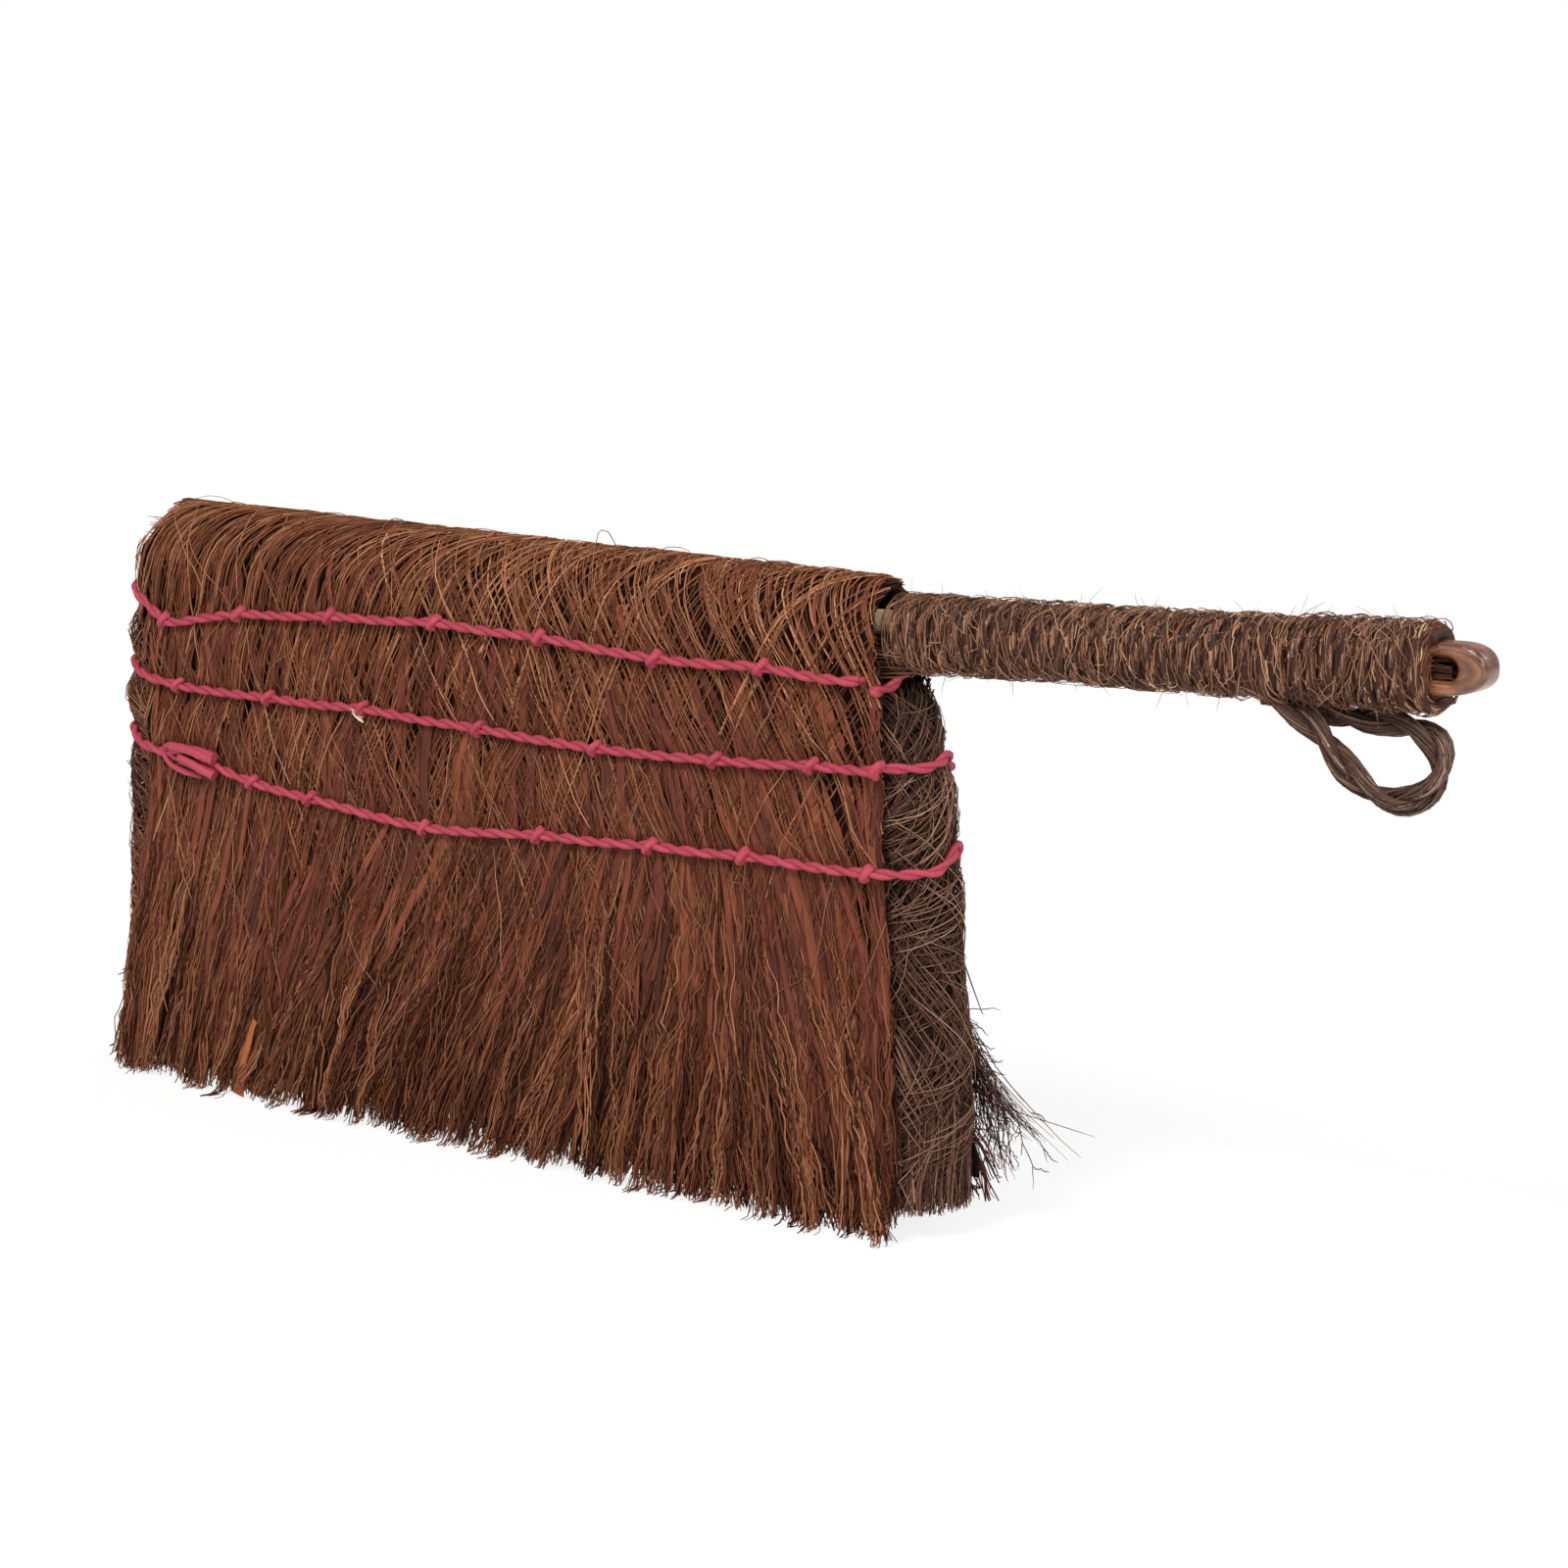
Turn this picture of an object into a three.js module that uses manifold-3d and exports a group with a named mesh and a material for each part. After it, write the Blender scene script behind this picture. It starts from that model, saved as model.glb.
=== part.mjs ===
import * as THREE from "three";
import { mergeVertices } from "three/addons/utils/BufferGeometryUtils.js";
import Module from "manifold-3d";

const wasm = await Module();
wasm.setup();

// Main sizes in millimetres. X runs along the handle, the front faces -Y and the tips stand on Z = 0.
const HEAD_LENGTH = 264;
const HEAD_HEIGHT = 158.3; // tips to crown at mid length
const HEAD_DEPTH = 25; // across the fold
const GRIP_LENGTH = 132;
const GRIP_DEPTH = 18.4;
const EYE_REACH = 16; // bent cane beyond the grip
const GAP = 0.3; // clear space between neighbouring pieces

// Heights on the head are shares of its height, places along it are shares of its length, and
// half depths are shares of its depth. Lists of pairs are [place, value], eased from one to the next.
const SLOPE = 0.0475; // share of a height lost over the length of the head
const LOWER_ROW = 0.534;
const MIDDLE_ROW = 0.692;
const UPPER_ROW = 0.8275;
const ROW_STEPS = [6, 6, 5]; // steps of height up to each row

// Outer sheath: one sheet folded over the cane.
const SHEATH = 2.4;
const FOLD_RISE = 12.3; // fold axis to crown
const FOLD_STEPS = 8;
const SHOULDER_STEPS = 4; // steps of height from the upper row to the fold axis
const SHEATH_LEFT = [
  [0, -0.528], [0.253, -0.502], [LOWER_ROW, -0.48], [0.75, -0.48], [0.85, -0.497], [0.92, -0.494], [1, -0.46],
];
const SHEATH_RIGHT = [[0, 0.513], [0.695, 0.489], [1, 0.475]];

// Dark pad inside the outer sheath: pinched at the three rows of stitching.
const PAD_MIDDLE = -1; // Y of the pad's middle plane
const PAD_WRAP = 2.4; // thickness of the dark sheath round the pad
const PAD_HALF = [
  [0, 0.46], [LOWER_ROW, 0.328], [0.613, 0.384], [MIDDLE_ROW, 0.312], [0.764, 0.36], [UPPER_ROW, 0.304],
];
const PAD_LEFT = [[0, -0.553], [0.284, -0.525], [0.695, -0.521], [UPPER_ROW, -0.506]];
const PAD_RIGHT = [[0, 0.54], [0.221, 0.549], [LOWER_ROW, 0.534], [0.695, 0.525], [UPPER_ROW, 0.504]];
const NOSE_SEGMENTS = 3;

// Rear ply between the pad and the back of the outer sheath: both fan out towards the tips.
const PLY = 2;
const PLY_TOP = 0.739;
const PLY_INSET = 2; // left edge of the ply inside that of the outer sheath
const PLY_RIGHT = [[0, 0.572], [0.265, 0.523], [LOWER_ROW, 0.487], [PLY_TOP, 0.483]];
const PLY_FAN = 5;
const SKIRT_FAN = 9;
const FAN_BEND = 1.6;

// Cane, and the roll of fibre round it in the fold.
const CANE_WIDTH = 7.6;
const CANE_HEIGHT = 6.1;
const CANE_EDGE = 1.4;
const CANE_THIN = 3.2; // thickness of the shaved end that is bent back
const CANE_TILT = 1.95; // above the fold axis at the butt, and below it at the neck
const CANE_DIP = 1.05; // below the fold axis where the shaving begins
const SHAVED = [60.5, 8.5]; // the shaving begins and ends this far before the end of the grip
const BENT_BACK = 44.5; // bent-back leg inside the grip
const EYE_RADIUS = 2.45; // inside of the hairpin
const EYE_INSIDE = 3; // inside bend of the hairpin beyond the grip
const EYE_ROUNDING = [14, 8]; // length of the rounded end below and above its tip
const EYE_DROP = 1.5; // below the fold axis
const ROLL_CLEAR = 0.7;
const ROLL_INSET = 4; // left end of the roll inside the fold
const BUTT_INSET = 6; // butt of the cane inside the roll

// Grip: padding round the cane, bound with one rope.
const NECK = 3; // fold to binding
const NECK_BEND = 7.5; // the cane bends this far before the grip
const SOCKET = 28.5; // padding inside the fold
const PADDING_GAP = 1; // roll to padding
const PADDING_SHORT = 4.5; // padding short of the end of the grip
const PADDING_STEPS = 8;
const GRIP_DROP = [4.4, 1.5]; // grip axis below the fold axis at the two ends of the grip
const GRIP_WAIST = [[0, 1.054], [0.54, 0.984], [1, 1.076]]; // height over depth along the grip
const GRIP_SQUARENESS = 0.78;
const ROPE = 3.4; // diameter of the binding rope
const ROPE_SEAT = 0.75; // binding rope to the padding under it
const TURN_GAP = 0.6;
const TURN_STEPS = 10;

// Hanging loop: its two parts lie along one line under the binding, on which it swings.
const LOOP_ROPE = 5.6;
const LOOP_SIZE = 42;
const LOOP_CLEAR = 0.6; // below the binding
const LOOP_INSIDE = 38.5; // start of the loop before the end of the grip
// X and Z from its start, in loop sizes.
const LOOP_OUT = [
  [0, 0], [0.167, 0], [0.262, -0.029], [0.345, -0.1], [0.424, -0.2], [0.512, -0.314],
  [0.633, -0.398], [0.776, -0.426], [0.902, -0.386], [0.981, -0.281], [0.99, -0.162],
];
const LOOP_BACK = [
  [0.981, -0.281], [0.99, -0.162], [0.938, -0.062], [0.843, -0.01], [0.714, 0], [0.571, 0],
  [0.381, 0], [0.024, 0],
];

// Stitching: places of the stitches along the front, and the heights of the twine round the two ends.
const TWINE = 2.8;
const TWINE_SEAT = 0.45; // clear space under the twine
const LOOP_TWINE = 2; // the twine doubled through the head and pulled tight
const HOOK_CLEAR = 0.15;
const TAIL = 18; // length of front twine behind each end
const TAIL_BEND = 8;
const CORNER = 2.3; // twine beyond the sheath's edge where it turns
const CORNER_TURN = 1.1;
const CORNER_START = 1;
const NOSE_SEAT = 0.73; // clear space between the twine and the pad's round ends
const BACK_ENDS = [4, 2]; // back twine beyond its first and last stitch
const ROWS = {
  upper: {
    stitches: [
      [-0.451, 0.815], [-0.333, 0.839], [-0.203, 0.848], [-0.057, 0.849],
      [0.078, 0.8465], [0.22, 0.836], [0.341, 0.836], [0.456, 0.824],
    ],
    ends: [0.834, 0.814],
    behind: 0.796,
    hole: 1,
  },
  middle: {
    stitches: [
      [-0.43, 0.7], [-0.292, 0.701], [-0.157, 0.7], [0, 0.687],
      [0.148, 0.6785], [0.294, 0.689], [0.4015, 0.693], [0.4715, 0.7],
    ],
    ends: [0.725, 0.736],
    behind: 0.736,
    hole: -1,
  },
  lower: {
    stitches: [
      [-0.322, 0.543], [-0.235, 0.534], [-0.0795, 0.512], [0.076, 0.526],
      [0.212, 0.536], [0.3295, 0.543], [0.464, 0.541],
    ],
    ends: [0.602, 0.588],
    behind: 0.603,
    hole: 1,
  },
};
const TIE_OFF = [-0.422, 0.566];
const TIE_TAILS = [10, 9];
const TIE_DROPS = [2.2, 5];
const TIE_LEAD = 1;

const { lerp, smoothstep, degToRad } = THREE.MathUtils;

function eased(pairs, at) {
  const next = pairs.findIndex(([place]) => place >= at);
  if (next === 0) return pairs[0][1];
  if (next < 0) return pairs.at(-1)[1];
  const [before, after] = [pairs[next - 1], pairs[next]];
  return lerp(before[1], after[1], smoothstep(at, before[0], after[0]));
}

// Places that follow from the main sizes.
const padTop = UPPER_ROW * HEAD_HEIGHT;
const plyTop = PLY_TOP * HEAD_HEIGHT;
const fanTop = LOWER_ROW * HEAD_HEIGHT;
const foldAxis = HEAD_HEIGHT - FOLD_RISE;
const foldHalf = HEAD_DEPTH / 2;
const sideAt = (pairs, z) => eased(pairs, z / HEAD_HEIGHT) * HEAD_LENGTH;
const foldLeft = sideAt(SHEATH_LEFT, HEAD_HEIGHT);
const gripStart = sideAt(SHEATH_RIGHT, HEAD_HEIGHT) + NECK;
const gripEnd = gripStart + GRIP_LENGTH;
const rollEnds = [foldLeft + ROLL_INSET, gripStart - SOCKET];

// Heights at which the head is drawn, with the same number of steps to each row whatever its height.
const rowHeights = [LOWER_ROW, MIDDLE_ROW, UPPER_ROW].map((share) => share * HEAD_HEIGHT);
const levels = [0];
rowHeights.forEach((height, row) => {
  const from = levels.at(-1);
  for (let step = 1; step <= ROW_STEPS[row]; step += 1) {
    levels.push(lerp(from, height, step / ROW_STEPS[row]));
  }
});

// Surfaces of the head as Y at an upright height.
const padHalf = (z) => eased(PAD_HALF, z / HEAD_HEIGHT) * HEAD_DEPTH;
const fan = (z, reach) => reach * Math.max(0, 1 - z / fanTop) ** FAN_BEND;
const plyFront = (z) => PAD_MIDDLE + padHalf(z) + GAP + fan(z, PLY_FAN);
function skirtFront(z) {
  const seat = PAD_MIDDLE - padHalf(z) - GAP - SHEATH;
  return lerp(seat, -foldHalf, smoothstep(z, padTop, foldAxis));
}
function skirtBack(z) {
  const ply = (PLY + GAP) * (1 - smoothstep(z, plyTop, padTop));
  const seat = PAD_MIDDLE + padHalf(z) + GAP + ply + fan(z, SKIRT_FAN) + SHEATH;
  return lerp(seat, foldHalf, smoothstep(z, padTop, foldAxis));
}
const shrink = (x) => 1 - (SLOPE * x) / HEAD_LENGTH;
const upright = (x, z) => z / shrink(x);
const leaned = (x, y, z) => [x, y, z * shrink(x)];

// Moves every corner of a geometry by a rule.
function reshaped(geometry, rule) {
  const place = geometry.getAttribute("position");
  for (let i = 0; i < place.count; i += 1) {
    place.setXYZ(i, ...rule(place.getX(i), place.getY(i), place.getZ(i)));
  }
  return geometry;
}

// A sheet between two matching lists of points in Y and Z, drawn out along X between two side edges.
function sheet(outside, inside, left, right) {
  const steps = outside.length - 1;
  const drawn = new THREE.BoxGeometry(1, 1, steps, 1, 1, steps);
  return reshaped(drawn, (share, depth, step) => {
    const [y, z] = (depth < 0 ? outside : inside)[Math.round(step + steps / 2)];
    return leaned(lerp(left(z), right(z), share + 0.5), y, z);
  });
}

// A pad with half-round ends that follows the pinched profile, set in from its surface.
function pad(inset, heights) {
  const outline = new THREE.Shape();
  outline.absarc(1, 0, 1, -Math.PI / 2, Math.PI / 2);
  outline.absarc(-1, 0, 1, Math.PI / 2, 1.5 * Math.PI);
  const steps = heights.length - 1;
  const drawn = new THREE.ExtrudeGeometry(outline, {
    depth: steps,
    steps,
    curveSegments: NOSE_SEGMENTS,
    bevelEnabled: false,
  });
  return reshaped(drawn, (x, y, step) => {
    const z = heights[Math.round(step)];
    const half = padHalf(z);
    const radius = half - inset;
    const right = sideAt(PAD_RIGHT, z) - half + (x - 1) * radius;
    const left = sideAt(PAD_LEFT, z) + half + (x + 1) * radius;
    return leaned(x > 0 ? right : left, PAD_MIDDLE + y * radius, z);
  });
}

// A path that passes exactly through its points, one per step.
class Route extends THREE.Curve {
  constructor(points) {
    super();
    this.points = points.map((point) => new THREE.Vector3(...point));
  }

  get steps() {
    return this.points.length - 1;
  }

  getPoint(t, target = new THREE.Vector3()) {
    const place = t * this.steps;
    const from = Math.min(Math.floor(place), this.steps - 1);
    return target.lerpVectors(this.points[from], this.points[from + 1], place - from);
  }

  getUtoTmapping(u) {
    return u;
  }
}

function tube(points, diameter, sides) {
  const route = new Route(points);
  const corners = Array.from({ length: sides }, (_, side) => {
    const turn = (2 * Math.PI * side) / sides;
    return new THREE.Vector2(Math.cos(turn), Math.sin(turn)).multiplyScalar(diameter / 2);
  });
  return new THREE.ExtrudeGeometry(new THREE.Shape(corners), { steps: route.steps, extrudePath: route });
}

function solid(geometry) {
  const bare = geometry.clone();
  bare.deleteAttribute("normal");
  bare.deleteAttribute("uv");
  const merged = mergeVertices(bare);
  return new wasm.Manifold(
    new wasm.Mesh({
      numProp: 3,
      vertProperties: merged.attributes.position.array,
      triVerts: new Uint32Array(merged.index.array),
    }),
  );
}

function surface(body) {
  const mesh = body.getMesh();
  const geometry = new THREE.BufferGeometry();
  geometry.setAttribute("position", new THREE.BufferAttribute(mesh.vertProperties, 3));
  geometry.setIndex(new THREE.BufferAttribute(mesh.triVerts, 1));
  return geometry;
}

const cut = (body, tools) => tools.reduce((left, tool) => left.subtract(tool), body);
const joined = (bodies) => bodies.reduce((whole, body) => whole.add(body));

const brush = new THREE.Group();
brush.name = "hand_brush";

function place(name, geometry, color, roughness) {
  const material = new THREE.MeshStandardMaterial({ color, roughness, metalness: 0 });
  const mesh = new THREE.Mesh(geometry, material);
  mesh.name = name;
  brush.add(mesh);
}

// Stitches as X and Z, and their holes through the head, just above or below the front twine.
const onHead = ([along, up]) => [along * HEAD_LENGTH, up * HEAD_HEIGHT];
const rows = Object.entries(ROWS).map(([name, row]) => ({
  name,
  stitches: row.stitches.map(onHead),
  ends: row.ends.map((share) => share * HEAD_HEIGHT),
  behind: row.behind * HEAD_HEIGHT,
  hole: row.hole,
}));
const HOOK = TWINE / 2 + GAP + LOOP_TWINE / 2 + HOOK_CLEAR;
const holeHeight = (row, z) => z + row.hole * HOOK;
const holeSize = LOOP_TWINE + 2 * GAP;
const holes = rows.flatMap((row) =>
  row.stitches.map(([x, z]) => {
    const tool = new THREE.BoxGeometry(holeSize, 4 * HEAD_DEPTH, holeSize);
    return solid(tool.translate(x, 0, holeHeight(row, z)));
  }),
);

// Outer sheath.
const foldAngles = Array.from({ length: FOLD_STEPS + 1 }, (_, step) => Math.PI * (1 - step / FOLD_STEPS));
const shoulder = Array.from({ length: SHOULDER_STEPS - 1 }, (_, step) =>
  lerp(padTop, foldAxis, (step + 1) / SHOULDER_STEPS),
);
const wallLevels = [...levels, ...shoulder];
function sheathSide(inset) {
  const front = wallLevels.map((z) => [skirtFront(z) + inset, z]);
  const fold = foldAngles.map((angle) => [
    (foldHalf - inset) * Math.cos(angle),
    foldAxis + (FOLD_RISE - inset) * Math.sin(angle),
  ]);
  const back = wallLevels.map((z) => [skirtBack(z) - inset, z]).reverse();
  return [...front, ...fold, ...back];
}
const sheathLeft = (z) => sideAt(SHEATH_LEFT, z);
const sheathRight = (z) => sideAt(SHEATH_RIGHT, z);
const outerSheath = sheet(sheathSide(0), sheathSide(SHEATH), sheathLeft, sheathRight);
place("outer_sheath", surface(cut(solid(outerSheath), holes)), 0x7a3f28, 0.85);

// Rear ply.
const plyLevels = [...levels.filter((z) => z < plyTop), plyTop];
const plySide = (thickness) => plyLevels.map((z) => [plyFront(z) + thickness, z]);
const plyLeft = (z) => sheathLeft(z) + PLY_INSET;
const plyRight = (z) => sideAt(PLY_RIGHT, z);
const rearPly = sheet(plySide(0), plySide(PLY), plyLeft, plyRight);
place("rear_ply", surface(cut(solid(rearPly), holes)), 0x4a3027, 0.9);

// Dark sheath that wraps the pad, and the two bats inside it.
const lidded = (lid) => [...levels.slice(0, -1), padTop - lid];
const whole = solid(pad(0, levels));
const room = solid(pad(PAD_WRAP, lidded(PAD_WRAP)));
place("pad_wrap_sheath", surface(cut(whole.subtract(room), holes)), 0x46302a, 0.9);

const filling = solid(pad(PAD_WRAP + GAP, lidded(PAD_WRAP + GAP)));
function halfSpace(side) {
  const block = new THREE.BoxGeometry(2 * HEAD_LENGTH, 2 * HEAD_DEPTH, 3 * HEAD_HEIGHT);
  return solid(block.translate(0, PAD_MIDDLE + side * (HEAD_DEPTH - GAP / 2), 0));
}
place("front_bat", surface(cut(filling, [halfSpace(1), ...holes])), 0x5a3a2c, 0.9);
place("back_bat", surface(cut(filling, [halfSpace(-1), ...holes])), 0x5a3a2c, 0.9);

// Cane: a stick through the fold, shaved thin and bent back as an eye at the free end.
function cane(grow, width, edge) {
  const bend = EYE_RADIUS + CANE_THIN;
  const [eyeX, eyeZ] = [gripEnd + EYE_INSIDE, foldAxis - EYE_DROP];
  const [under, above] = EYE_ROUNDING.map((length) => gripEnd + EYE_REACH - length);
  const [shaveStart, shaveEnd] = SHAVED.map((length) => gripEnd - length);
  const butt = rollEnds[0] + BUTT_INSET - grow;
  const legEnd = gripEnd - BENT_BACK - grow;
  const neck = gripStart - NECK_BEND;
  const half = CANE_HEIGHT / 2 + grow;
  const outline = new THREE.Shape();
  outline.moveTo(butt, foldAxis + CANE_TILT - half);
  outline.lineTo(neck, foldAxis - CANE_TILT - half);
  outline.lineTo(shaveStart, foldAxis - CANE_DIP - half);
  outline.lineTo(shaveEnd, eyeZ + EYE_RADIUS - grow);
  outline.lineTo(eyeX, eyeZ + EYE_RADIUS - grow);
  outline.absarc(eyeX, eyeZ, EYE_RADIUS - grow, Math.PI / 2, -Math.PI / 2, true);
  outline.lineTo(legEnd, eyeZ - EYE_RADIUS + grow);
  outline.lineTo(legEnd, eyeZ - bend - grow);
  outline.lineTo(under, eyeZ - bend - grow);
  outline.absellipse(under, eyeZ, EYE_ROUNDING[0] + grow, bend + grow, -Math.PI / 2, 0);
  outline.absellipse(above, eyeZ, EYE_ROUNDING[1] + grow, bend + grow, 0, Math.PI / 2);
  outline.lineTo(shaveEnd, eyeZ + bend + grow);
  outline.lineTo(shaveStart, foldAxis - CANE_DIP + half);
  outline.lineTo(neck, foldAxis - CANE_TILT + half);
  outline.lineTo(butt, foldAxis + CANE_TILT + half);
  const drawn = new THREE.ExtrudeGeometry(outline, {
    depth: width - 2 * edge,
    curveSegments: 6,
    bevelEnabled: edge > 0,
    bevelThickness: edge,
    bevelSize: edge,
    bevelOffset: -edge,
    bevelSegments: 1,
  });
  return drawn.translate(0, 0, edge - width / 2).rotateX(Math.PI / 2);
}
place("core_cane", cane(0, CANE_WIDTH, CANE_EDGE), 0xc1a387, 0.5);
const caneRoom = solid(cane(GAP, CANE_WIDTH + 2 * GAP, 0));

// A round bundle along X: its section at each share of the length comes from a rule.
function bundle(ends, steps, sides, section) {
  const outline = new THREE.Shape();
  outline.absarc(0, 0, 1, 0, 2 * Math.PI);
  const drawn = new THREE.ExtrudeGeometry(outline, {
    depth: 1,
    steps,
    curveSegments: sides / 2,
    bevelEnabled: false,
  });
  return reshaped(drawn, (y, z, share) => section(lerp(...ends, share), y, z));
}
const rollRadius = Math.min(foldHalf, FOLD_RISE) - SHEATH - ROLL_CLEAR;
const roll = bundle(rollEnds, 1, 20, (x, y, z) => leaned(x, y * rollRadius, foldAxis + z * rollRadius));
place("fold_roll", surface(cut(solid(roll), [caneRoom, ...holes])), 0x5a3c2e, 0.9);

const alongGrip = (x) => (x - gripStart) / GRIP_LENGTH;
const gripAxis = (x) => foldAxis - lerp(...GRIP_DROP, alongGrip(x));
const gripHalf = (x) => (eased(GRIP_WAIST, alongGrip(x)) * GRIP_DEPTH) / 2;
const paddingEnds = [rollEnds[1] + PADDING_GAP, gripEnd - PADDING_SHORT];
const padding = bundle(paddingEnds, PADDING_STEPS, 16, (x, y, z) => [
  x,
  y * (GRIP_DEPTH / 2 - ROPE - ROPE_SEAT),
  gripAxis(x) + z * (gripHalf(x) - ROPE - ROPE_SEAT),
]);
place("handle_padding", surface(solid(padding).subtract(caneRoom)), 0x4c3328, 0.9);

// Binding: one rope wound round the grip.
const turns = Math.floor((GRIP_LENGTH - ROPE) / (ROPE + TURN_GAP));
const squared = (value) => Math.sign(value) * Math.abs(value) ** GRIP_SQUARENESS;
const windings = Array.from({ length: turns * TURN_STEPS + 1 }, (_, step) => {
  const x = lerp(gripStart + ROPE / 2, gripEnd - ROPE / 2, step / (turns * TURN_STEPS));
  const angle = (2 * Math.PI * (step + 0.5)) / TURN_STEPS;
  return [
    x,
    (squared(Math.cos(angle)) * (GRIP_DEPTH - ROPE)) / 2,
    gripAxis(x) + squared(Math.sin(angle)) * (gripHalf(x) - ROPE / 2),
  ];
});
place("handle_wrap", tube(windings, ROPE, 5), 0x6b4a3c, 0.9);

// Hanging loop: two lengths of one rope joined where they lie together.
const loopStart = gripEnd - LOOP_INSIDE;
const loopMiddle = loopStart + LOOP_SIZE / 2;
const loopLine = gripAxis(loopMiddle) - gripHalf(loopMiddle) - LOOP_CLEAR - LOOP_ROPE / 2;
const inLoopPlane = ([along, up]) => [loopStart + along * LOOP_SIZE, 0, loopLine + up * LOOP_SIZE];
const loop = [LOOP_OUT, LOOP_BACK].map((points) => solid(tube(points.map(inLoopPlane), LOOP_ROPE, 8)));
place("hang_loop", surface(joined(loop)), 0x5b4438, 0.9);

// Front twine of a row: along the front and round both ends to the back.
const twineOff = TWINE_SEAT + TWINE / 2;
const frontLine = (x, z) => skirtFront(upright(x, z)) - twineOff;
const backLine = (x, z) => skirtBack(upright(x, z)) + twineOff;
function roundEnd(side, from, height, behind) {
  const edge = (side > 0 ? sheathRight : sheathLeft)(upright((side * HEAD_LENGTH) / 2, height));
  const z = upright(edge, height);
  const reach = padHalf(z) + NOSE_SEAT + TWINE / 2;
  const middle = sideAt(side > 0 ? PAD_RIGHT : PAD_LEFT, z) - side * padHalf(z);
  const nose = [-50, -25, 0, 25, 50].map((angle) => [
    middle + side * reach * Math.cos(degToRad(angle)),
    PAD_MIDDLE + reach * Math.sin(degToRad(angle)),
    lerp(height, behind, (angle + 50) / 200),
  ]);
  const corner = lerp(from, height, 0.4);
  const front = frontLine(edge, corner);
  const rising = lerp(height, behind, 0.75);
  const back = backLine(edge, rising);
  const behindAt = (length) => [edge - side * length, backLine(edge - side * length, behind), behind];
  return [
    [edge + side * CORNER_START, front, corner],
    [edge + side * CORNER, front + CORNER_TURN, lerp(from, height, 0.6)],
    ...nose,
    [edge + side * CORNER, back - CORNER_TURN, rising],
    [edge + side * CORNER_START, back, rising],
    behindAt(TAIL_BEND),
    behindAt(TAIL),
  ];
}
function between(points, line) {
  return points.flatMap(([x, z], i) => {
    if (i === 0) return [[x, line(x, z), z]];
    const [a, b] = [(x + points[i - 1][0]) / 2, (z + points[i - 1][1]) / 2];
    return [[a, line(a, b), b], [x, line(x, z), z]];
  });
}
function frontTwine(row, extra) {
  const laid = [...extra, ...row.stitches];
  const left = roundEnd(-1, laid[0][1], row.ends[0], row.behind).reverse();
  const right = roundEnd(1, laid.at(-1)[1], row.ends[1], row.behind);
  return [...left, ...between(laid, frontLine), ...right];
}

// Part of a turn over the front twine at a stitch, in a plane across it.
function overTwine([x, z], angles, way) {
  return angles.map((angle) => [
    x,
    frontLine(x, z) - HOOK * Math.cos(degToRad(angle)),
    z + way * HOOK * Math.sin(degToRad(angle)),
  ]);
}

// Back twine of a row: along the back, with a loop through each hole and over the front twine.
function backTwine(row) {
  const run = row.stitches.map(([x, z]) => [x, holeHeight(row, z)]);
  const first = [run[0][0] - BACK_ENDS[0], run[0][1]];
  const last = [run.at(-1)[0] + BACK_ENDS[1], run.at(-1)[1]];
  const along = solid(tube(between([first, ...run, last], backLine), TWINE, 5));
  const loops = row.stitches.map(([x, z]) => {
    const height = holeHeight(row, z);
    const over = overTwine([x, z], [90, 50, 10, -30, -75], row.hole);
    return solid(tube([[x, backLine(x, height), height], ...over], LOOP_TWINE, 5));
  });
  return surface(joined([along, ...loops]));
}

const tieOff = onHead(TIE_OFF);
for (const row of rows) {
  const extra = row.name === "lower" ? [tieOff] : [];
  place(`front_twine_${row.name}`, tube(frontTwine(row, extra), TWINE, 6), 0xab4854, 0.6);
  place(`back_twine_${row.name}`, backTwine(row), 0xab4854, 0.6);
}

// Tie-off: a turn of twine over the lower front twine, with two cut tails.
const tieTurn = tube(overTwine(tieOff, [70, 35, 0, -35, -70], 1), TWINE, 5);
const tieTails = TIE_TAILS.map((reach, i) => {
  const [x, z] = [tieOff[0], tieOff[1] - HOOK];
  const route = [
    [x - TIE_LEAD, z],
    [x + reach / 2, z - TIE_DROPS[i] / 2],
    [x + reach, z - TIE_DROPS[i]],
  ];
  return tube(route.map(([a, b]) => [a, frontLine(a, b), b]), TWINE, 5);
});
place("twine_tie_off", surface(joined([tieTurn, ...tieTails].map(solid))), 0xab4854, 0.6);

export default brush;
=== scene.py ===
import math

import bmesh
import bpy
import numpy as np
from mathutils import Matrix, Vector
from mathutils.bvhtree import BVHTree


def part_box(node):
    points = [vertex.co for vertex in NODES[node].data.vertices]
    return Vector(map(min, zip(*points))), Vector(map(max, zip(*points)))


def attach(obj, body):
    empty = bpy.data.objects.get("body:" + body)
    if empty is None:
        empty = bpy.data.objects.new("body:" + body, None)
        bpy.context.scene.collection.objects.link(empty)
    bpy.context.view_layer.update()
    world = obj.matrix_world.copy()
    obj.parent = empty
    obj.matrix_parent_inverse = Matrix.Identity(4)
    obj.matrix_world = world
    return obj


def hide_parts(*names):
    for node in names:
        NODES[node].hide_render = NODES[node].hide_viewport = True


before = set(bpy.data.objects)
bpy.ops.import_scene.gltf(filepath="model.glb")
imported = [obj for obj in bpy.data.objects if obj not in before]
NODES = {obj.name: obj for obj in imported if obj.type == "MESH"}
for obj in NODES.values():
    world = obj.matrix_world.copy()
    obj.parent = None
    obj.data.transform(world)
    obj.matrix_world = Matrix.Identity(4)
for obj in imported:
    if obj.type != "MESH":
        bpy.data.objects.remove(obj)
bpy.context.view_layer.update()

# Lengths are millimetres until a mesh is made. The front of the brush faces -Y and its tips stand on Z = 0.
MM = 0.001
TURN = 2 * math.pi

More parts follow.
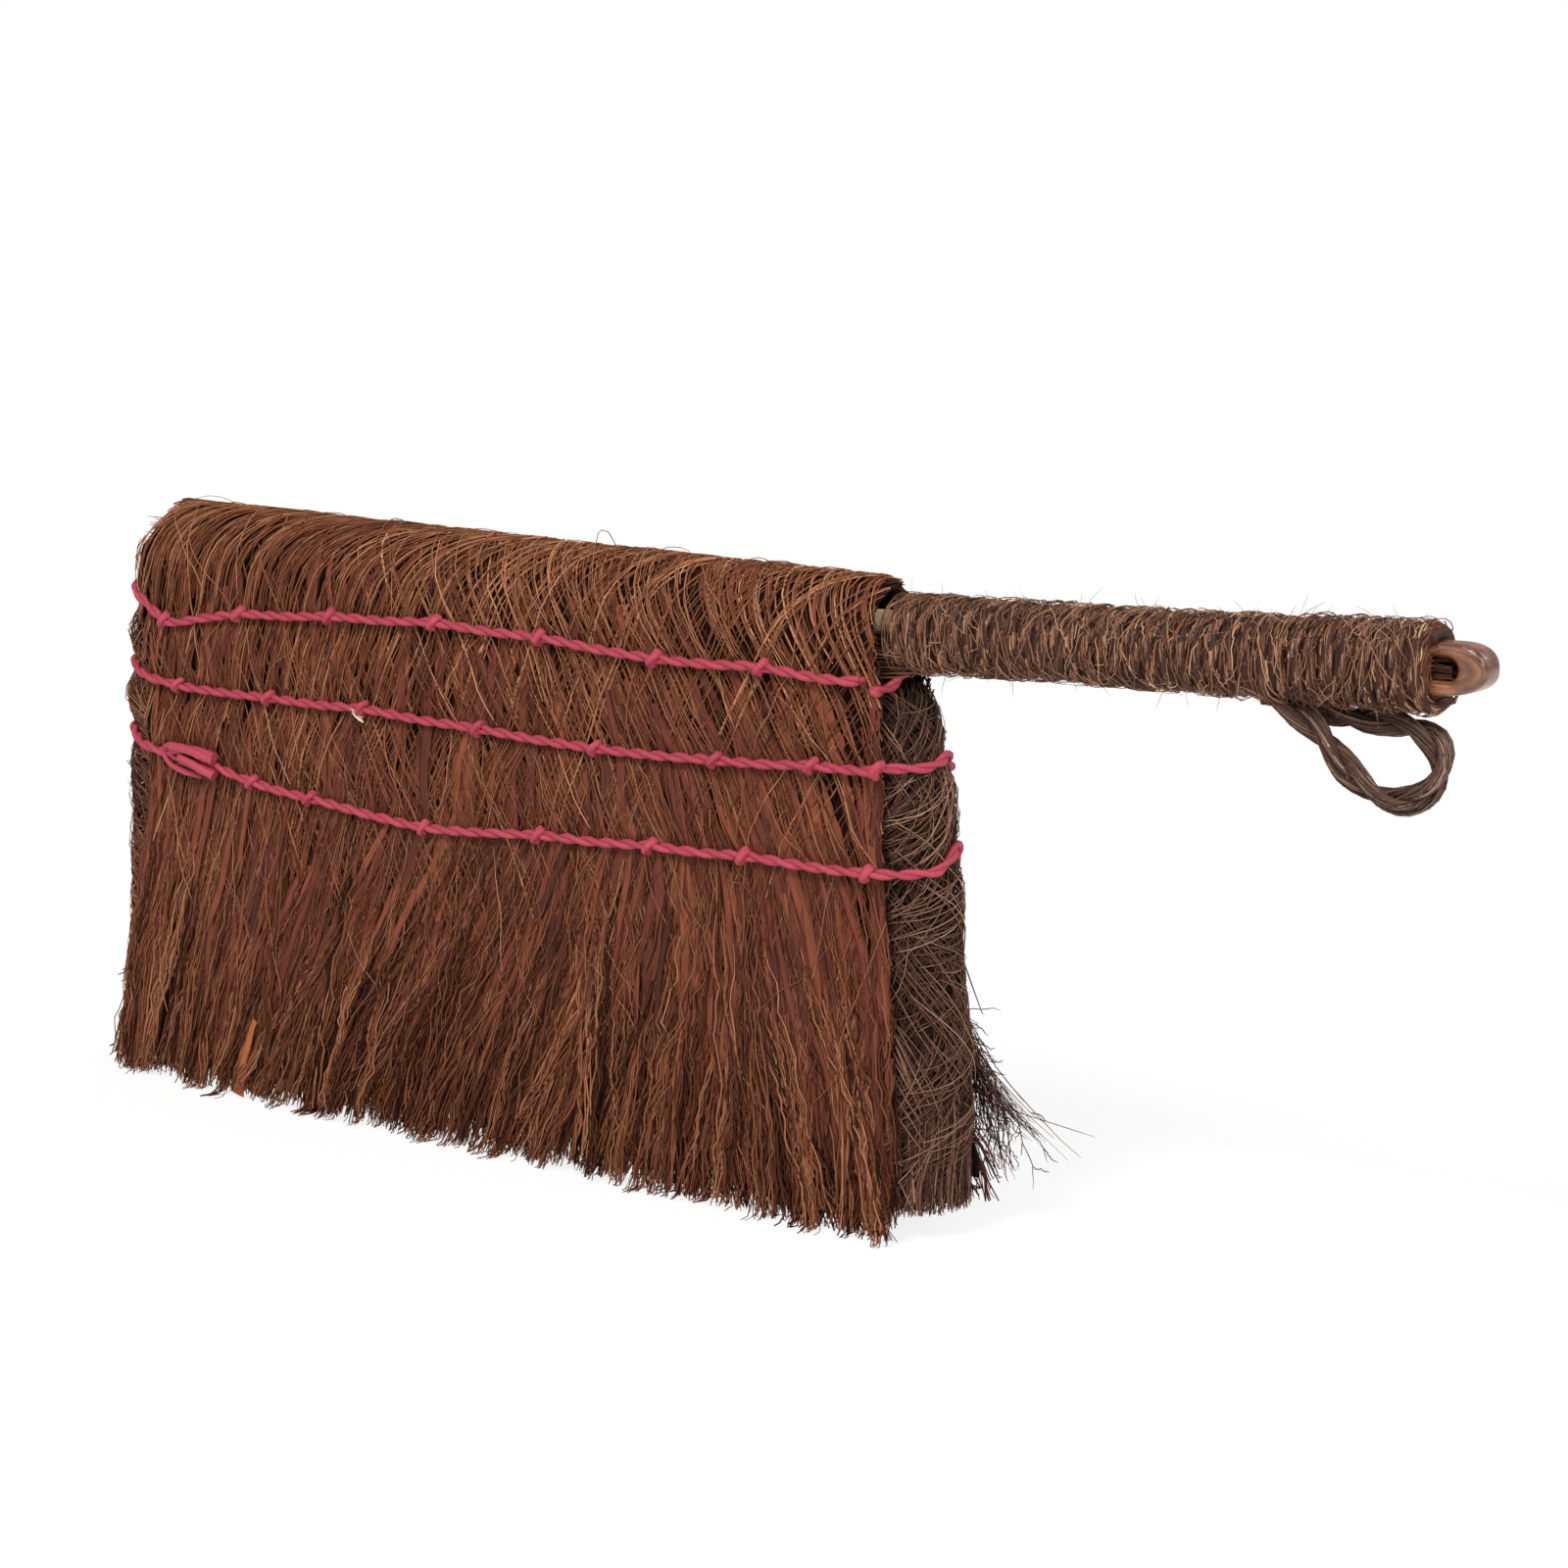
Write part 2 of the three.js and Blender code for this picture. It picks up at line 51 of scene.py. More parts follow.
# Stitches of the three rows along the front, as X and Z, and the tie-off that begins the lower row.
UPPER = [
    (-115.6, 129.5), (-85.9, 133.3), (-51, 135.2), (-12.7, 136.2), (23.4, 135), (60.9, 132.5), (94, 133),
    (120.4, 131.4),
]
MIDDLE = [
    (-110.9, 112), (-75.1, 111.5), (-39.4, 111.6), (2, 110), (41.5, 108.6), (79.7, 109.4), (109.2, 111),
    (128.3, 111.8),
]
LOWER = [(-81.7, 88.1), (-59.7, 85.8), (-17.4, 82.4), (22.6, 84.9), (59.7, 86.4), (89.1, 87.3), (126, 87.4)]
TIE = [(-113, 92.7), (-95, 91)]
TWINE = 3.0
# Heights of each row at the left and the right end: at its last stitch, round the nose, and behind.
STARTS = {"upper": (129.5, 129.6), "middle": (112, 111.8), "lower": (92.7, 87.4)}
ENDS = {"upper": (138.3, 133.4), "middle": (117, 114), "lower": (97.9, 93)}
BEHIND = {"upper": (126, 128), "middle": (116.5, 109), "lower": (95.5, 86.5)}
# Turns round the right and the left nose, in degrees from its tip, and the share of the climb made there.
ROUND = {
    1: ([-55, -28, -5, 20, 38, 60], [0, 0.1, 0.5, 1, 0.8, 0]),
    -1: ([-65, -38, 0, 30, 55], [0.78, 1, 1, 1, 1]),
}
CLIMB = [0.12, 0.5, 0.85, 1, 1, 1]  # of the upper row at the right, below the handle
REENTRY = (126.6, 129.6)  # X and Z where the upper row comes out of the sheath again
HOOK = 2.85  # from a row on the front to its twine on the back, in height
SEAT = 1.85  # from the sheath to the middle of a twine on it
SUNK = -2.4  # from the sheath to the ends of a twine, inside the head

# Hanging loop: the points of its route. Its two parts lie beside each other in Y.
LOOP_ROPE = 5.6
LOOP = [
    (222, -1.6, 136.2), (227.5, -1.6, 134.4), (232.5, -1.5, 131.4), (236.6, -1.2, 127.9), (239.9, -0.8, 124),
    (243.6, -0.3, 119.9), (248.5, 0, 116.7), (254.5, 0, 115.6), (259.8, 0, 117.2), (263.1, 0.2, 121),
    (263.6, 0.5, 125.4), (261.3, 0.9, 129.2), (257.3, 1.3, 131.3), (251.9, 1.6, 131.9), (245.5, 1.8, 131.9),
    (239, 1.8, 132.4), (233.5, 1.7, 133.8),
]

# Cane: the stick in the fold, and the eye at the free end.
STICK = [(-111, 0, 147.9), (0, 0, 146), (121, 0, 144.1), (200, 0, 144.9), (236, 0, 147.6)]
STICK_RADIUS = ([-111, 200, 236], [3.05, 3.05, 1.6])  # by X
EYE = (265.9, 144.5)  # X and Z of its inside bend
EYE_IN, EYE_OUT = 2.45, 5.65  # from there to its inside and its outside, in height
EYE_TIP = 274.9
EYE_ROUNDING = (14, 8)  # length of the rounded end below and above its tip
EYE_LEGS = (217, 232)  # X where the lower and the upper leg end, inside the binding
CANE_HALF = 3.8
CANE_EDGE = 1.3


def rgb(red, green, blue):
    """A screen colour as the linear one that a shader takes."""
    def linear(c):
        c /= 255
        return c / 12.92 if c <= 0.04045 else ((c + 0.055) / 1.055) ** 2.4
    return (linear(red), linear(green), linear(blue), 1)


def eased(low, high, at):
    """From 0 at low to 1 at high, with a smooth start and end."""
    t = np.clip((at - low) / (high - low), 0, 1)
    return t * t * (3 - 2 * t)


# Camera
camera = bpy.data.objects.new("camera", bpy.data.cameras.new("camera"))
camera.data.lens = 75
camera.data.sensor_width = 36
camera.data.clip_start = 0.05
camera.data.clip_end = 30
camera.location = (0.5704, -0.6125, 0.2288)
camera.rotation_mode = "QUATERNION"
camera.rotation_quaternion = Vector((-0.60898, 0.77666, -0.15973)).to_track_quat("-Z", "Y")
bpy.context.scene.collection.objects.link(camera)
bpy.context.scene.camera = camera


# Nodes and finishes
class Value:
    """A node's output that takes part in Python arithmetic."""

    def __init__(self, nodes, socket):
        self.nodes = nodes
        self.socket = socket

    def __add__(self, other):
        return self.nodes.maths("ADD", self, other)

    def __sub__(self, other):
        return self.nodes.maths("SUBTRACT", self, other)

    def __mul__(self, other):
        return self.nodes.maths("MULTIPLY", self, other)

    def __rsub__(self, other):
        return self.nodes.maths("SUBTRACT", other, self)

    __radd__ = __add__
    __rmul__ = __mul__


class Nodes:
    """The node tree of a material, of the world or of a strand's section."""

    def __init__(self, tree):
        self.tree = tree
        self.tree.nodes.clear()

    def node(self, kind, settings, sockets, out=0):
        """One output of a new node, whose settings are set before its sockets."""
        made = self.tree.nodes.new(kind)
        for key, value in settings.items():
            if key == "stops":
                ramp = made.color_ramp.elements
                while len(ramp) < len(value):
                    ramp.new(0.5)
                for element, (place, colour) in zip(ramp, value):
                    element.position = place
                    element.color = colour
            else:
                setattr(made, key, value)
        for key, value in sockets.items():
            if isinstance(value, Value):
                self.tree.links.new(value.socket, made.inputs[key])
            else:
                made.inputs[key].default_value = value
        return Value(self, made.outputs[out]) if len(made.outputs) else None

    def maths(self, operation, first, second):
        return self.node("ShaderNodeMath", {"operation": operation}, {0: first, 1: second})


class Finish(Nodes):
    """A material and the nodes that make it."""

    def __init__(self, name):
        self.material = bpy.data.materials.new(name)
        self.material.use_nodes = True
        super().__init__(self.material.node_tree)

    def place(self):
        """Object coordinates, in metres."""
        return self.node("ShaderNodeTexCoord", {}, {}, out=3)

    def noise(self, vector, scale, detail, settings=None, **sockets):
        sockets.update({"Vector": vector, "Scale": scale, "Detail": detail})
        return self.node("ShaderNodeTexNoise", settings or {}, sockets)

    def ramp(self, value, stops):
        return self.node("ShaderNodeValToRGB", {"stops": stops}, {0: value})

    def ranged(self, value, low, high, start, end, **settings):
        """From start where a value is low to end where it is high."""
        sockets = {0: value, 1: low, 2: high, 3: start, 4: end}
        return self.node("ShaderNodeMapRange", settings, sockets)

    def bump(self, height, strength, distance):
        sockets = {"Height": height, "Strength": strength, "Distance": distance}
        return self.node("ShaderNodeBump", {}, sockets)

    def tinted(self, colour, amount):
        """A colour made lighter or darker by an amount that varies."""
        grey = self.node("ShaderNodeCombineColor", {}, {0: amount, 1: amount, 2: amount})
        settings = {"data_type": "RGBA", "blend_type": "MULTIPLY"}
        return self.node("ShaderNodeMix", settings, {"Factor": 1.0, 6: colour, 7: grey}, out=2)

    def done(self, sockets):
        shader = self.node("ShaderNodeBsdfPrincipled", {}, sockets)
        self.node("ShaderNodeOutputMaterial", {}, {"Surface": shader})
        return self.material


def fibre_finish(name, stops, roughness, across=140.0, along=9.0, contrast=0.8, shine=0.2):
    """Fibres coloured by the tone of each one, and a little blotchy along their length."""
    finish = Finish(name)
    place = finish.node("ShaderNodeUVMap", {"uv_map": "OFBake"}, {})
    tone, length = (finish.node("ShaderNodeSeparateXYZ", {}, {0: place}, out=i) for i in (0, 1))
    spot = finish.node("ShaderNodeCombineXYZ", {}, {0: tone * across, 1: length * along})
    blotch = finish.noise(spot, 1.0, 2.0, {"noise_dimensions": "2D"})
    base = finish.tinted(finish.ramp(tone, stops), blotch * contrast + (1.0 - 0.5 * contrast))
    return finish.done({"Base Color": base, "Roughness": roughness, "Specular IOR Level": shine})


def mat_finish(name, dark, light):
    """Matted fibre seen between the strands on top: fine crossing streaks, in colours darker than the fibre
    itself as painted shade in the gaps.
    """
    finish = Finish(name)
    place = finish.place()
    streaks = []
    for lean in (0.42, -0.42):
        sockets = {"Vector": place, "Rotation": (0, lean, 0), "Scale": (1500, 900, 70)}
        turned = finish.node("ShaderNodeMapping", {}, sockets)
        streaks.append(finish.noise(turned, 1.0, 2.0))
    weave = finish.maths("MAXIMUM", *streaks)
    colour = finish.ramp(weave, [(0.45, dark), (0.72, light)])
    bump = finish.bump(weave, 0.8, 0.0006)
    return finish.done({"Base Color": colour, "Roughness": 0.85, "Specular IOR Level": 0.1, "Normal": bump})


def cane_finish(name, dark, light):
    """Split cane: long fine grain along X."""
    finish = Finish(name)
    place = finish.place()
    drawn = finish.node("ShaderNodeMapping", {}, {"Vector": place, "Scale": (60, 900, 1400)})
    grain = finish.noise(drawn, 1.0, 4.0)
    stain = finish.noise(place, 180.0, 3.0)
    colour = finish.ramp(grain * 0.65 + stain * 0.35, [(0.3, dark), (0.7, light)])
    bump = finish.bump(grain, 0.5, 0.0003)
    return finish.done({"Base Color": colour, "Roughness": grain * 0.25 + 0.43, "Normal": bump})


def bent_cane_finish(name, stops):
    """Cane bent round its eye: worn, glossy, with layers that follow the bend, darker at its inside."""
    finish = Finish(name)
    place = finish.place()
    x, y, z = (finish.node("ShaderNodeSeparateXYZ", {}, {0: place}, out=i) for i in range(3))
    beyond = finish.maths("MAXIMUM", x - EYE[0] * MM, 0.0) * 0.45
    aside = z - EYE[1] * MM
    layer = finish.node("ShaderNodeMath", {"operation": "SQRT"}, {0: beyond * beyond + aside * aside})
    spot = finish.node("ShaderNodeCombineXYZ", {}, {0: layer * 2600.0, 1: y * 160.0, 2: x * 60.0})
    grain = finish.noise(spot, 1.0, 4.0, Roughness=0.6)
    stain = finish.noise(place, 260.0, 3.0)
    rim = finish.ranged(layer, 2.5 * MM, 7.5 * MM, 0.62, 1.12)
    leg = finish.ranged(z, (EYE[1] - 1.5) * MM, (EYE[1] - 3.5) * MM, 0.0, 0.6)
    short = finish.ranged(x, (EYE[0] + 3) * MM, EYE[0] * MM, 0.0, 1.0)
    colour = finish.tinted(finish.ramp(grain * 0.6 + stain * 0.4, stops), rim + leg * short)
    return finish.done({
        "Base Color": colour, "Roughness": grain * 0.3 + 0.16, "Coat Weight": 0.35,
        "Normal": finish.bump(grain, 0.7, 0.0004),
    })


red_fibre = fibre_finish("red_sheath_fibre", [
    (0.0, rgb(28, 12, 6)), (0.2, rgb(58, 28, 16)), (0.42, rgb(92, 50, 31)), (0.62, rgb(116, 69, 45)),
    (0.82, rgb(146, 95, 66)), (1.0, rgb(192, 140, 103)),
], 0.65, shine=0.12)
strip_skin = fibre_finish("sheath_membrane", [
    (0.0, rgb(56, 30, 24)), (0.3, rgb(80, 40, 29)), (0.6, rgb(100, 50, 35)), (0.85, rgb(114, 61, 41)),
    (1.0, rgb(150, 86, 52)),
], 0.65, across=420.0, along=5.0, contrast=1.0, shine=0.12)
dark_fibre = fibre_finish("dark_sheath_fibre", [
    (0.0, rgb(24, 14, 10)), (0.35, rgb(66, 42, 32)), (0.7, rgb(116, 82, 65)), (1.0, rgb(176, 142, 119)),
], 0.65, shine=0.12)
fill_fibre = fibre_finish("fill_fibre", [
    (0.0, rgb(48, 25, 16)), (0.4, rgb(98, 57, 38)), (0.75, rgb(132, 84, 58)), (1.0, rgb(174, 126, 94)),
], 0.65)
rope_fibre = fibre_finish("palm_rope_fibre", [
    (0.0, rgb(46, 27, 19)), (0.3, rgb(92, 58, 43)), (0.6, rgb(130, 89, 68)), (0.85, rgb(166, 124, 96)),
    (1.0, rgb(212, 176, 132)),
], 0.65, along=30.0)
loop_fibre = fibre_finish("loop_rope_fibre", [
    (0.0, rgb(34, 22, 17)), (0.4, rgb(76, 54, 43)), (0.75, rgb(112, 86, 72)), (1.0, rgb(156, 126, 106)),
], 0.55, along=20.0)
pink_paper = fibre_finish("pink_twine_paper", [
    (0.0, rgb(112, 32, 42)), (0.4, rgb(150, 54, 68)), (0.75, rgb(168, 66, 81)), (1.0, rgb(192, 96, 110)),
], 0.6, across=260.0, along=60.0, contrast=0.7)
pale_straw = fibre_finish("pale_straw", [(0.0, rgb(150, 140, 112)), (1.0, rgb(226, 218, 190))], 0.6)
# The mats are near black: painted shade in the gaps between the strands on top.
red_mat = mat_finish("red_sheath_mat", rgb(11, 5, 3), rgb(36, 17, 10))
dark_mat = mat_finish("dark_sheath_mat", rgb(13, 8, 6), rgb(40, 26, 20))
fill_mat = mat_finish("fibre_fill_mat", rgb(18, 9, 6), rgb(62, 37, 25))
pale_cane = cane_finish("pale_cane", rgb(255, 208, 152), rgb(255, 230, 190))
brown_cane = bent_cane_finish("brown_cane", [
    (0.3, rgb(50, 26, 15)), (0.43, rgb(96, 55, 34)), (0.56, rgb(132, 79, 50)), (0.72, rgb(190, 128, 86)),
])


# Strands: fibres, plies and strips, all drawn along routes.
TONE_BREADTH = 0.02  # of one strand's stripe in the UV map


def strand_tree(lines, sides, flat):
    """Nodes that draw a closed section along each line, tapering with its radius."""
    tree = bpy.data.node_groups.new("strand_section", "GeometryNodeTree")
    tree.interface.new_socket("Geometry", in_out="OUTPUT", socket_type="NodeSocketGeometry")
    nodes = Nodes(tree)

    def stored(geometry, name, value):
        settings = {"data_type": "FLOAT", "domain": "POINT"}
        sockets = {"Geometry": geometry, "Name": name, "Value": value}
        return nodes.node("GeometryNodeStoreNamedAttribute", settings, sockets)

    course = nodes.node("GeometryNodeObjectInfo", {}, {"Object": lines}, out="Geometry")
    course = nodes.node("GeometryNodeCurveSplineType", {"spline_type": "POLY"}, {"Curve": course})
    if flat:
        vector = {"data_type": "FLOAT_VECTOR"}
        facing = nodes.node("GeometryNodeInputNamedAttribute", vector, {"Name": "facing"}, out="Attribute")
        turned = {"Curve": course, "Normal": facing}
        course = nodes.node("GeometryNodeSetCurveNormal", {"mode": "FREE"}, turned)
    course = stored(course, "along", nodes.node("GeometryNodeSplineParameter", {}, {}, out="Factor"))
    ring = {"Resolution": sides, "Radius": 1.0}
    section = nodes.node("GeometryNodeCurvePrimitiveCircle", {}, ring, out="Curve")
    section = nodes.node("GeometryNodeTransform", {}, {"Geometry": section, "Scale": (1, flat or 1, 1)})
    section = stored(section, "corner", nodes.node("GeometryNodeInputIndex", {}, {}))
    radius = nodes.node("GeometryNodeInputRadius", {}, {})
    drawn = {"Curve": course, "Profile Curve": section, "Scale": radius, "Fill Caps": True}
    nodes.node("NodeGroupOutput", {}, {0: nodes.node("GeometryNodeCurveToMesh", {}, drawn)})
    return tree


def read(mesh, name):
    values = np.zeros(len(mesh.vertices), np.float32)
    mesh.attributes[name].data.foreach_get("value", values)
    return values


def store(curves, name, kind, domain, field, values):
    curves.attributes.new(name, kind, domain)
    curves.attributes[name].data.foreach_set(field, values.astype(np.float32).ravel())


def piece(name, mesh, finish, body="brush"):
    made = bpy.data.objects.new(name, mesh)
    bpy.context.scene.collection.objects.link(made)
    mesh.materials.clear()
    mesh.materials.append(finish)
    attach(made, body)
    return made


def evaluated_mesh(holder):
    return bpy.data.meshes.new_from_object(holder.evaluated_get(bpy.context.evaluated_depsgraph_get()))


def strands(name, routes, radius, tone, finish, body="brush", sides=3, flat=None, facing=None):
    """One piece of many strands, with routes as (strand, point, XYZ).

    radius is for each point or strand, and tone for each strand. facing turns the section of flat strands.
    """
    routes = np.asarray(routes, float)
    count, points = routes.shape[:2]
    curves = bpy.data.hair_curves.new(name)
    curves.add_curves([points] * count)
    curves.position_data.foreach_set("vector", (routes * MM).astype(np.float32).ravel())
    wide = np.broadcast_to(np.asarray(radius, float), (count, points)) * MM
    store(curves, "radius", "FLOAT", "POINT", "value", wide)
    store(curves, "tone", "FLOAT", "CURVE", "value", np.broadcast_to(tone, count))
    if flat:
        store(curves, "facing", "FLOAT_VECTOR", "POINT", "vector", np.broadcast_to(facing, routes.shape))
    lines = bpy.data.objects.new(name + "_lines", curves)
    holder = bpy.data.objects.new(name + "_holder", bpy.data.meshes.new("holder"))
    for made in (lines, holder):
        bpy.context.scene.collection.objects.link(made)
    drawn = holder.modifiers.new("strands", "NODES")
    drawn.node_group = strand_tree(lines, sides, flat)
    mesh = evaluated_mesh(holder)
    for made in (holder, lines):
        bpy.data.objects.remove(made)
    mesh.name = name
    spread = (read(mesh, "corner") / (sides - 1) - 0.5) * TONE_BREADTH
    across = np.clip(read(mesh, "tone"), 0.5 * TONE_BREADTH, 1 - 0.5 * TONE_BREADTH) + spread
    along = read(mesh, "along")
    corners = np.zeros(len(mesh.loops), np.int32)
    mesh.loops.foreach_get("vertex_index", corners)
    layer = mesh.uv_layers.new(name="OFBake")
    layer.data.foreach_set("uv", np.stack([across[corners], along[corners]], 1).ravel())
    for spare in ("corner", "tone", "along", "facing"):
        if spare in mesh.attributes:
            mesh.attributes.remove(mesh.attributes[spare])
    mesh.shade_smooth()
    return piece(name, mesh, finish, body)


def taper(points, root=0.7, tip=0.35):
    """Share of the full radius along a fibre."""
    t = np.linspace(0, 1, points)
    return np.interp(t, [0, 0.15, 0.75, 1], [root, 1, 0.9, tip])


def thickness(rng, radii, count, points, root=0.7, tip=0.35):
    """Radii of fibres at their points, from a range of full radii."""
    return rng.uniform(*radii, count)[:, None] * taper(points, root, tip)


def shades(rng, mean, spread, count, highest=1):
    """Tones of strands round a mean."""
    return np.clip(rng.normal(mean, spread, count), 0, highest)


def walk(rng, step, shape):
    """Random steps that add up along the points of each strand."""
    return rng.normal(0, step, shape).cumsum(1)


def straight(start, end, points):
    """Evenly spaced points from starts to ends, which are numbers or XYZ."""
    t = np.linspace(0, 1, points)
    return start[:, None] + (end - start)[:, None] * (t if start.ndim == 1 else t[:, None])


def route_through(points, step):
    """Evenly spaced points on a smooth curve through a few."""
    points = np.array(points, float)
    chord = np.concatenate([[0], np.cumsum(np.linalg.norm(np.diff(points, axis=0), axis=1))])
    slope = np.gradient(points, chord, axis=0)
    at = np.linspace(0, chord[-1], max(2, round(chord[-1] / step) + 1))
    i = np.clip(np.searchsorted(chord, at, side="right") - 1, 0, len(points) - 2)
    span = (chord[i + 1] - chord[i])[:, None]
    t = (at - chord[i])[:, None] / span
    h = t * t * (3 - 2 * t)
    ends = points[i] * (1 - h) + points[i + 1] * h
    return ends + span * t * (1 - t) * ((1 - t) * slope[i] - t * slope[i + 1])


def unit(vectors):
    return vectors / np.linalg.norm(vectors, axis=-1, keepdims=True)


class Line:
    """A route with its length and two directions across it that turn as little as they can."""

    def __init__(self, route):
        self.route = np.asarray(route, float)
        gaps = np.linalg.norm(np.diff(self.route, axis=0), axis=1)
        self.along = np.concatenate([[0], np.cumsum(gaps)])
        self.ahead = unit(np.gradient(self.route, axis=0))
        side = np.cross(self.ahead[0], (0.31, 0.87, 0.38))
        sides = []
        for ahead in self.ahead:
            side = unit(side - ahead * (side @ ahead))
            sides.append(side)
        self.side = np.array(sides)
        self.up = np.cross(self.ahead, self.side)

    def at(self, field, along):
        return np.stack([np.interp(along, self.along, field[:, i]) for i in range(3)], -1)

    def wound(self, offset, pitch, phase):
        """A route that winds round this one."""
        angle = (phase + TURN * self.along / pitch)[:, None]
        return self.route + offset * (np.cos(angle) * self.side + np.sin(angle) * self.up)

    def spun(self, rng, radius, pitch, count, length, points):
        """Short fibres twisted together round this line, most of them near the outside."""
        total = self.along[-1]
        shape = (count, points)
        long = rng.uniform(0.6, 1.3, count) * length
        start = rng.uniform(0, 1, count) * (total + long) - long
        start = np.clip(start, 0, np.maximum(total - 0.4 * long, 0))
        along = np.clip(start[:, None] + np.linspace(0, 1, points) * long[:, None], 0, total)
        depth = radius * np.sqrt(rng.uniform(0.45, 1, count))[:, None]
        depth = (depth + rng.normal(0, 0.04 * radius, shape))[..., None]
        angle = rng.uniform(0, TURN, count)[:, None] + TURN * along / pitch + walk(rng, 0.06, shape)
        cos, sin = np.cos(angle)[..., None], np.sin(angle)[..., None]
        across = cos * self.at(self.side, along) + sin * self.at(self.up, along)
        return self.at(self.route, along) + depth * across


# Hanging loop: two plies of palm fibre.
def make_loop():
    """The rope's fibres."""
    rng = np.random.default_rng(41)
    route = route_through(LOOP, 1.2)
    line = Line(route)
    points = 30
    fibres = []
    for phase in (0, math.pi):
        ply = Line(line.wound(0.28 * LOOP_ROPE, 30, phase))
        fibres.append(ply.spun(rng, 0.28 * LOOP_ROPE, pitch=-60, count=170, length=60, points=points))
        fibres.append(ply.spun(rng, 0.15 * LOOP_ROPE, pitch=-60, count=50, length=70, points=points))
    fibres = np.concatenate(fibres)
    radius = thickness(rng, (0.16, 0.34), len(fibres), points)
    tone = shades(rng, 0.45, 0.22, len(fibres))
    loop = strands("hanging_loop", fibres, radius, tone, loop_fibre, body="loop")
    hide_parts("hang_loop")
    path = [tuple(point * MM) for point in route[::4]]


make_loop()


# Surfaces of the head, read from the solids.
def tree_of(node):
    mesh = NODES[node].data
    return BVHTree.FromPolygons([v.co for v in mesh.vertices], [tuple(p.vertices) for p in mesh.polygons])


SOLIDS = {node: tree_of(node) for node in ("outer_sheath", "pad_wrap_sheath", "rear_ply")}


def hit(node, origin, direction):
    place = SOLIDS[node].ray_cast(Vector(origin) * MM, Vector(direction))[0]
    return np.array(place) / MM


FAR = 300  # start of a ray, well outside the head
PROBE = 100  # X of the two sections that are read
FOLD_AXIS = 0.922  # share of the height of the head
WALL_ROWS, FOLD_ROWS = 46, 19  # points read up each wall and over the fold
EDGE_X, EDGE_DEPTH = 130.0, -1.2  # place inside the sheath at which its side edges are read
# Inset of the side edges by the distance from the crown: both ways at the left, only behind it at the right.
LEFT_INSET = ([0, 4, 8, 14, 22, 30, 40], [-2, 0.8, 2.3, 3.6, 1.9, 0.6, 0])
RIGHT_INSET = ([0, 7, 20, 34], [0, 5.4, 5.4, 0])
FALL = 0.00018  # of the head's height, as a share for each millimetre along X


def section(x):
    """Y and Z of the outer sheath's outside at one X, from the front tips over the fold to the back tips."""
    axis = FOLD_AXIS * hit("outer_sheath", (x, 0, FAR), (0, 0, -1))[2]
    heights = np.linspace(0.002, 1, WALL_ROWS) * axis
    front = [hit("outer_sheath", (x, -FAR, z), (0, 1, 0)) for z in heights]
    back = [hit("outer_sheath", (x, FAR, z), (0, -1, 0)) for z in heights[::-1]]
    fold = []
    for angle in np.linspace(math.pi, 0, FOLD_ROWS)[1:-1]:
        cos, sin = math.cos(angle), math.sin(angle)
        fold.append(hit("outer_sheath", (x, FAR * cos, axis + FAR * sin), (0, -cos, -sin)))
    return np.array(front + fold + back)[:, 1:]


class Sheath:
    """The outer sheath's surface by X and by the distance S over the fold from the front tips."""

    def __init__(self):
        self.ends = [section(-PROBE), section(PROBE)]
        middle = (self.ends[0] + self.ends[1]) / 2
        self.s = np.concatenate([[0], np.cumsum(np.linalg.norm(np.diff(middle, axis=0), axis=1))])
        ahead = unit(np.gradient(middle, axis=0))
        self.out = np.stack([-ahead[:, 1], ahead[:, 0]], 1)
        self.total = self.s[-1]
        top = np.argmax(middle[:, 1])
        self.crown = self.s[top]
        self.front = (middle[:top, 1], self.s[:top])
        self.back = (middle[:top:-1, 1], self.s[:top:-1])
        self.left = self.edge(-1) + np.interp(np.abs(self.s - self.crown), *LEFT_INSET)
        self.right = self.edge(1) - np.interp(self.s - self.crown, *RIGHT_INSET)

    def edge(self, way):
        """X of the solid's left or right edge at each S."""
        starts = self.place(way * EDGE_X, self.s, EDGE_DEPTH) + (way * FAR, 0, 0)
        return np.array([hit("outer_sheath", start, (-way, 0, 0))[0] for start in starts])

    def place(self, x, s, lift=0.0):
        x, s, lift = np.broadcast_arrays(np.asarray(x, float), s, lift)
        share = (x + PROBE) / (2 * PROBE)
        place = [x]
        for i in (0, 1):
            near, far = (np.interp(s, self.s, end[:, i]) for end in self.ends)
            place.append(near + (far - near) * share + lift * np.interp(s, self.s, self.out[:, i]))
        return np.stack(place, -1)

    def facing(self, s):
        out = np.stack([np.interp(s, self.s, self.out[:, i]) for i in (0, 1)], -1)
        return np.concatenate([np.zeros(out.shape[:-1] + (1,)), out], -1)

    def sides(self, s):
        return np.interp(s, self.s, self.left), np.interp(s, self.s, self.right)

    def up_front(self, z):
        return np.interp(z, *self.front)

    def up_back(self, z):
        return np.interp(z, *self.back)


sheath = Sheath()
ROW_LEVELS = (84.5, 109.5, 131)  # Z of the lower, the middle and the upper row, about
S_LOWER, S_MIDDLE, S_UPPER = (float(sheath.up_front(z)) for z in ROW_LEVELS)
S_CROWN, S_END = float(sheath.crown), float(sheath.total)
S_MARGIN = 0.2  # kept clear at both ends of the sheath


def row_height(row, x):
    return np.interp(x, [stitch[0] for stitch in row], [stitch[1] for stitch in row])


def under_twine(x, z, lift):
    """Lift kept down where a row of stitching holds the fibres."""
    for row in (UPPER, MIDDLE, LOWER):
        off = np.abs(z - row_height(row, x))
        lift = np.minimum(lift, 0.2 + 0.22 * np.maximum(off - 0.5 * TWINE, 0))
    return lift


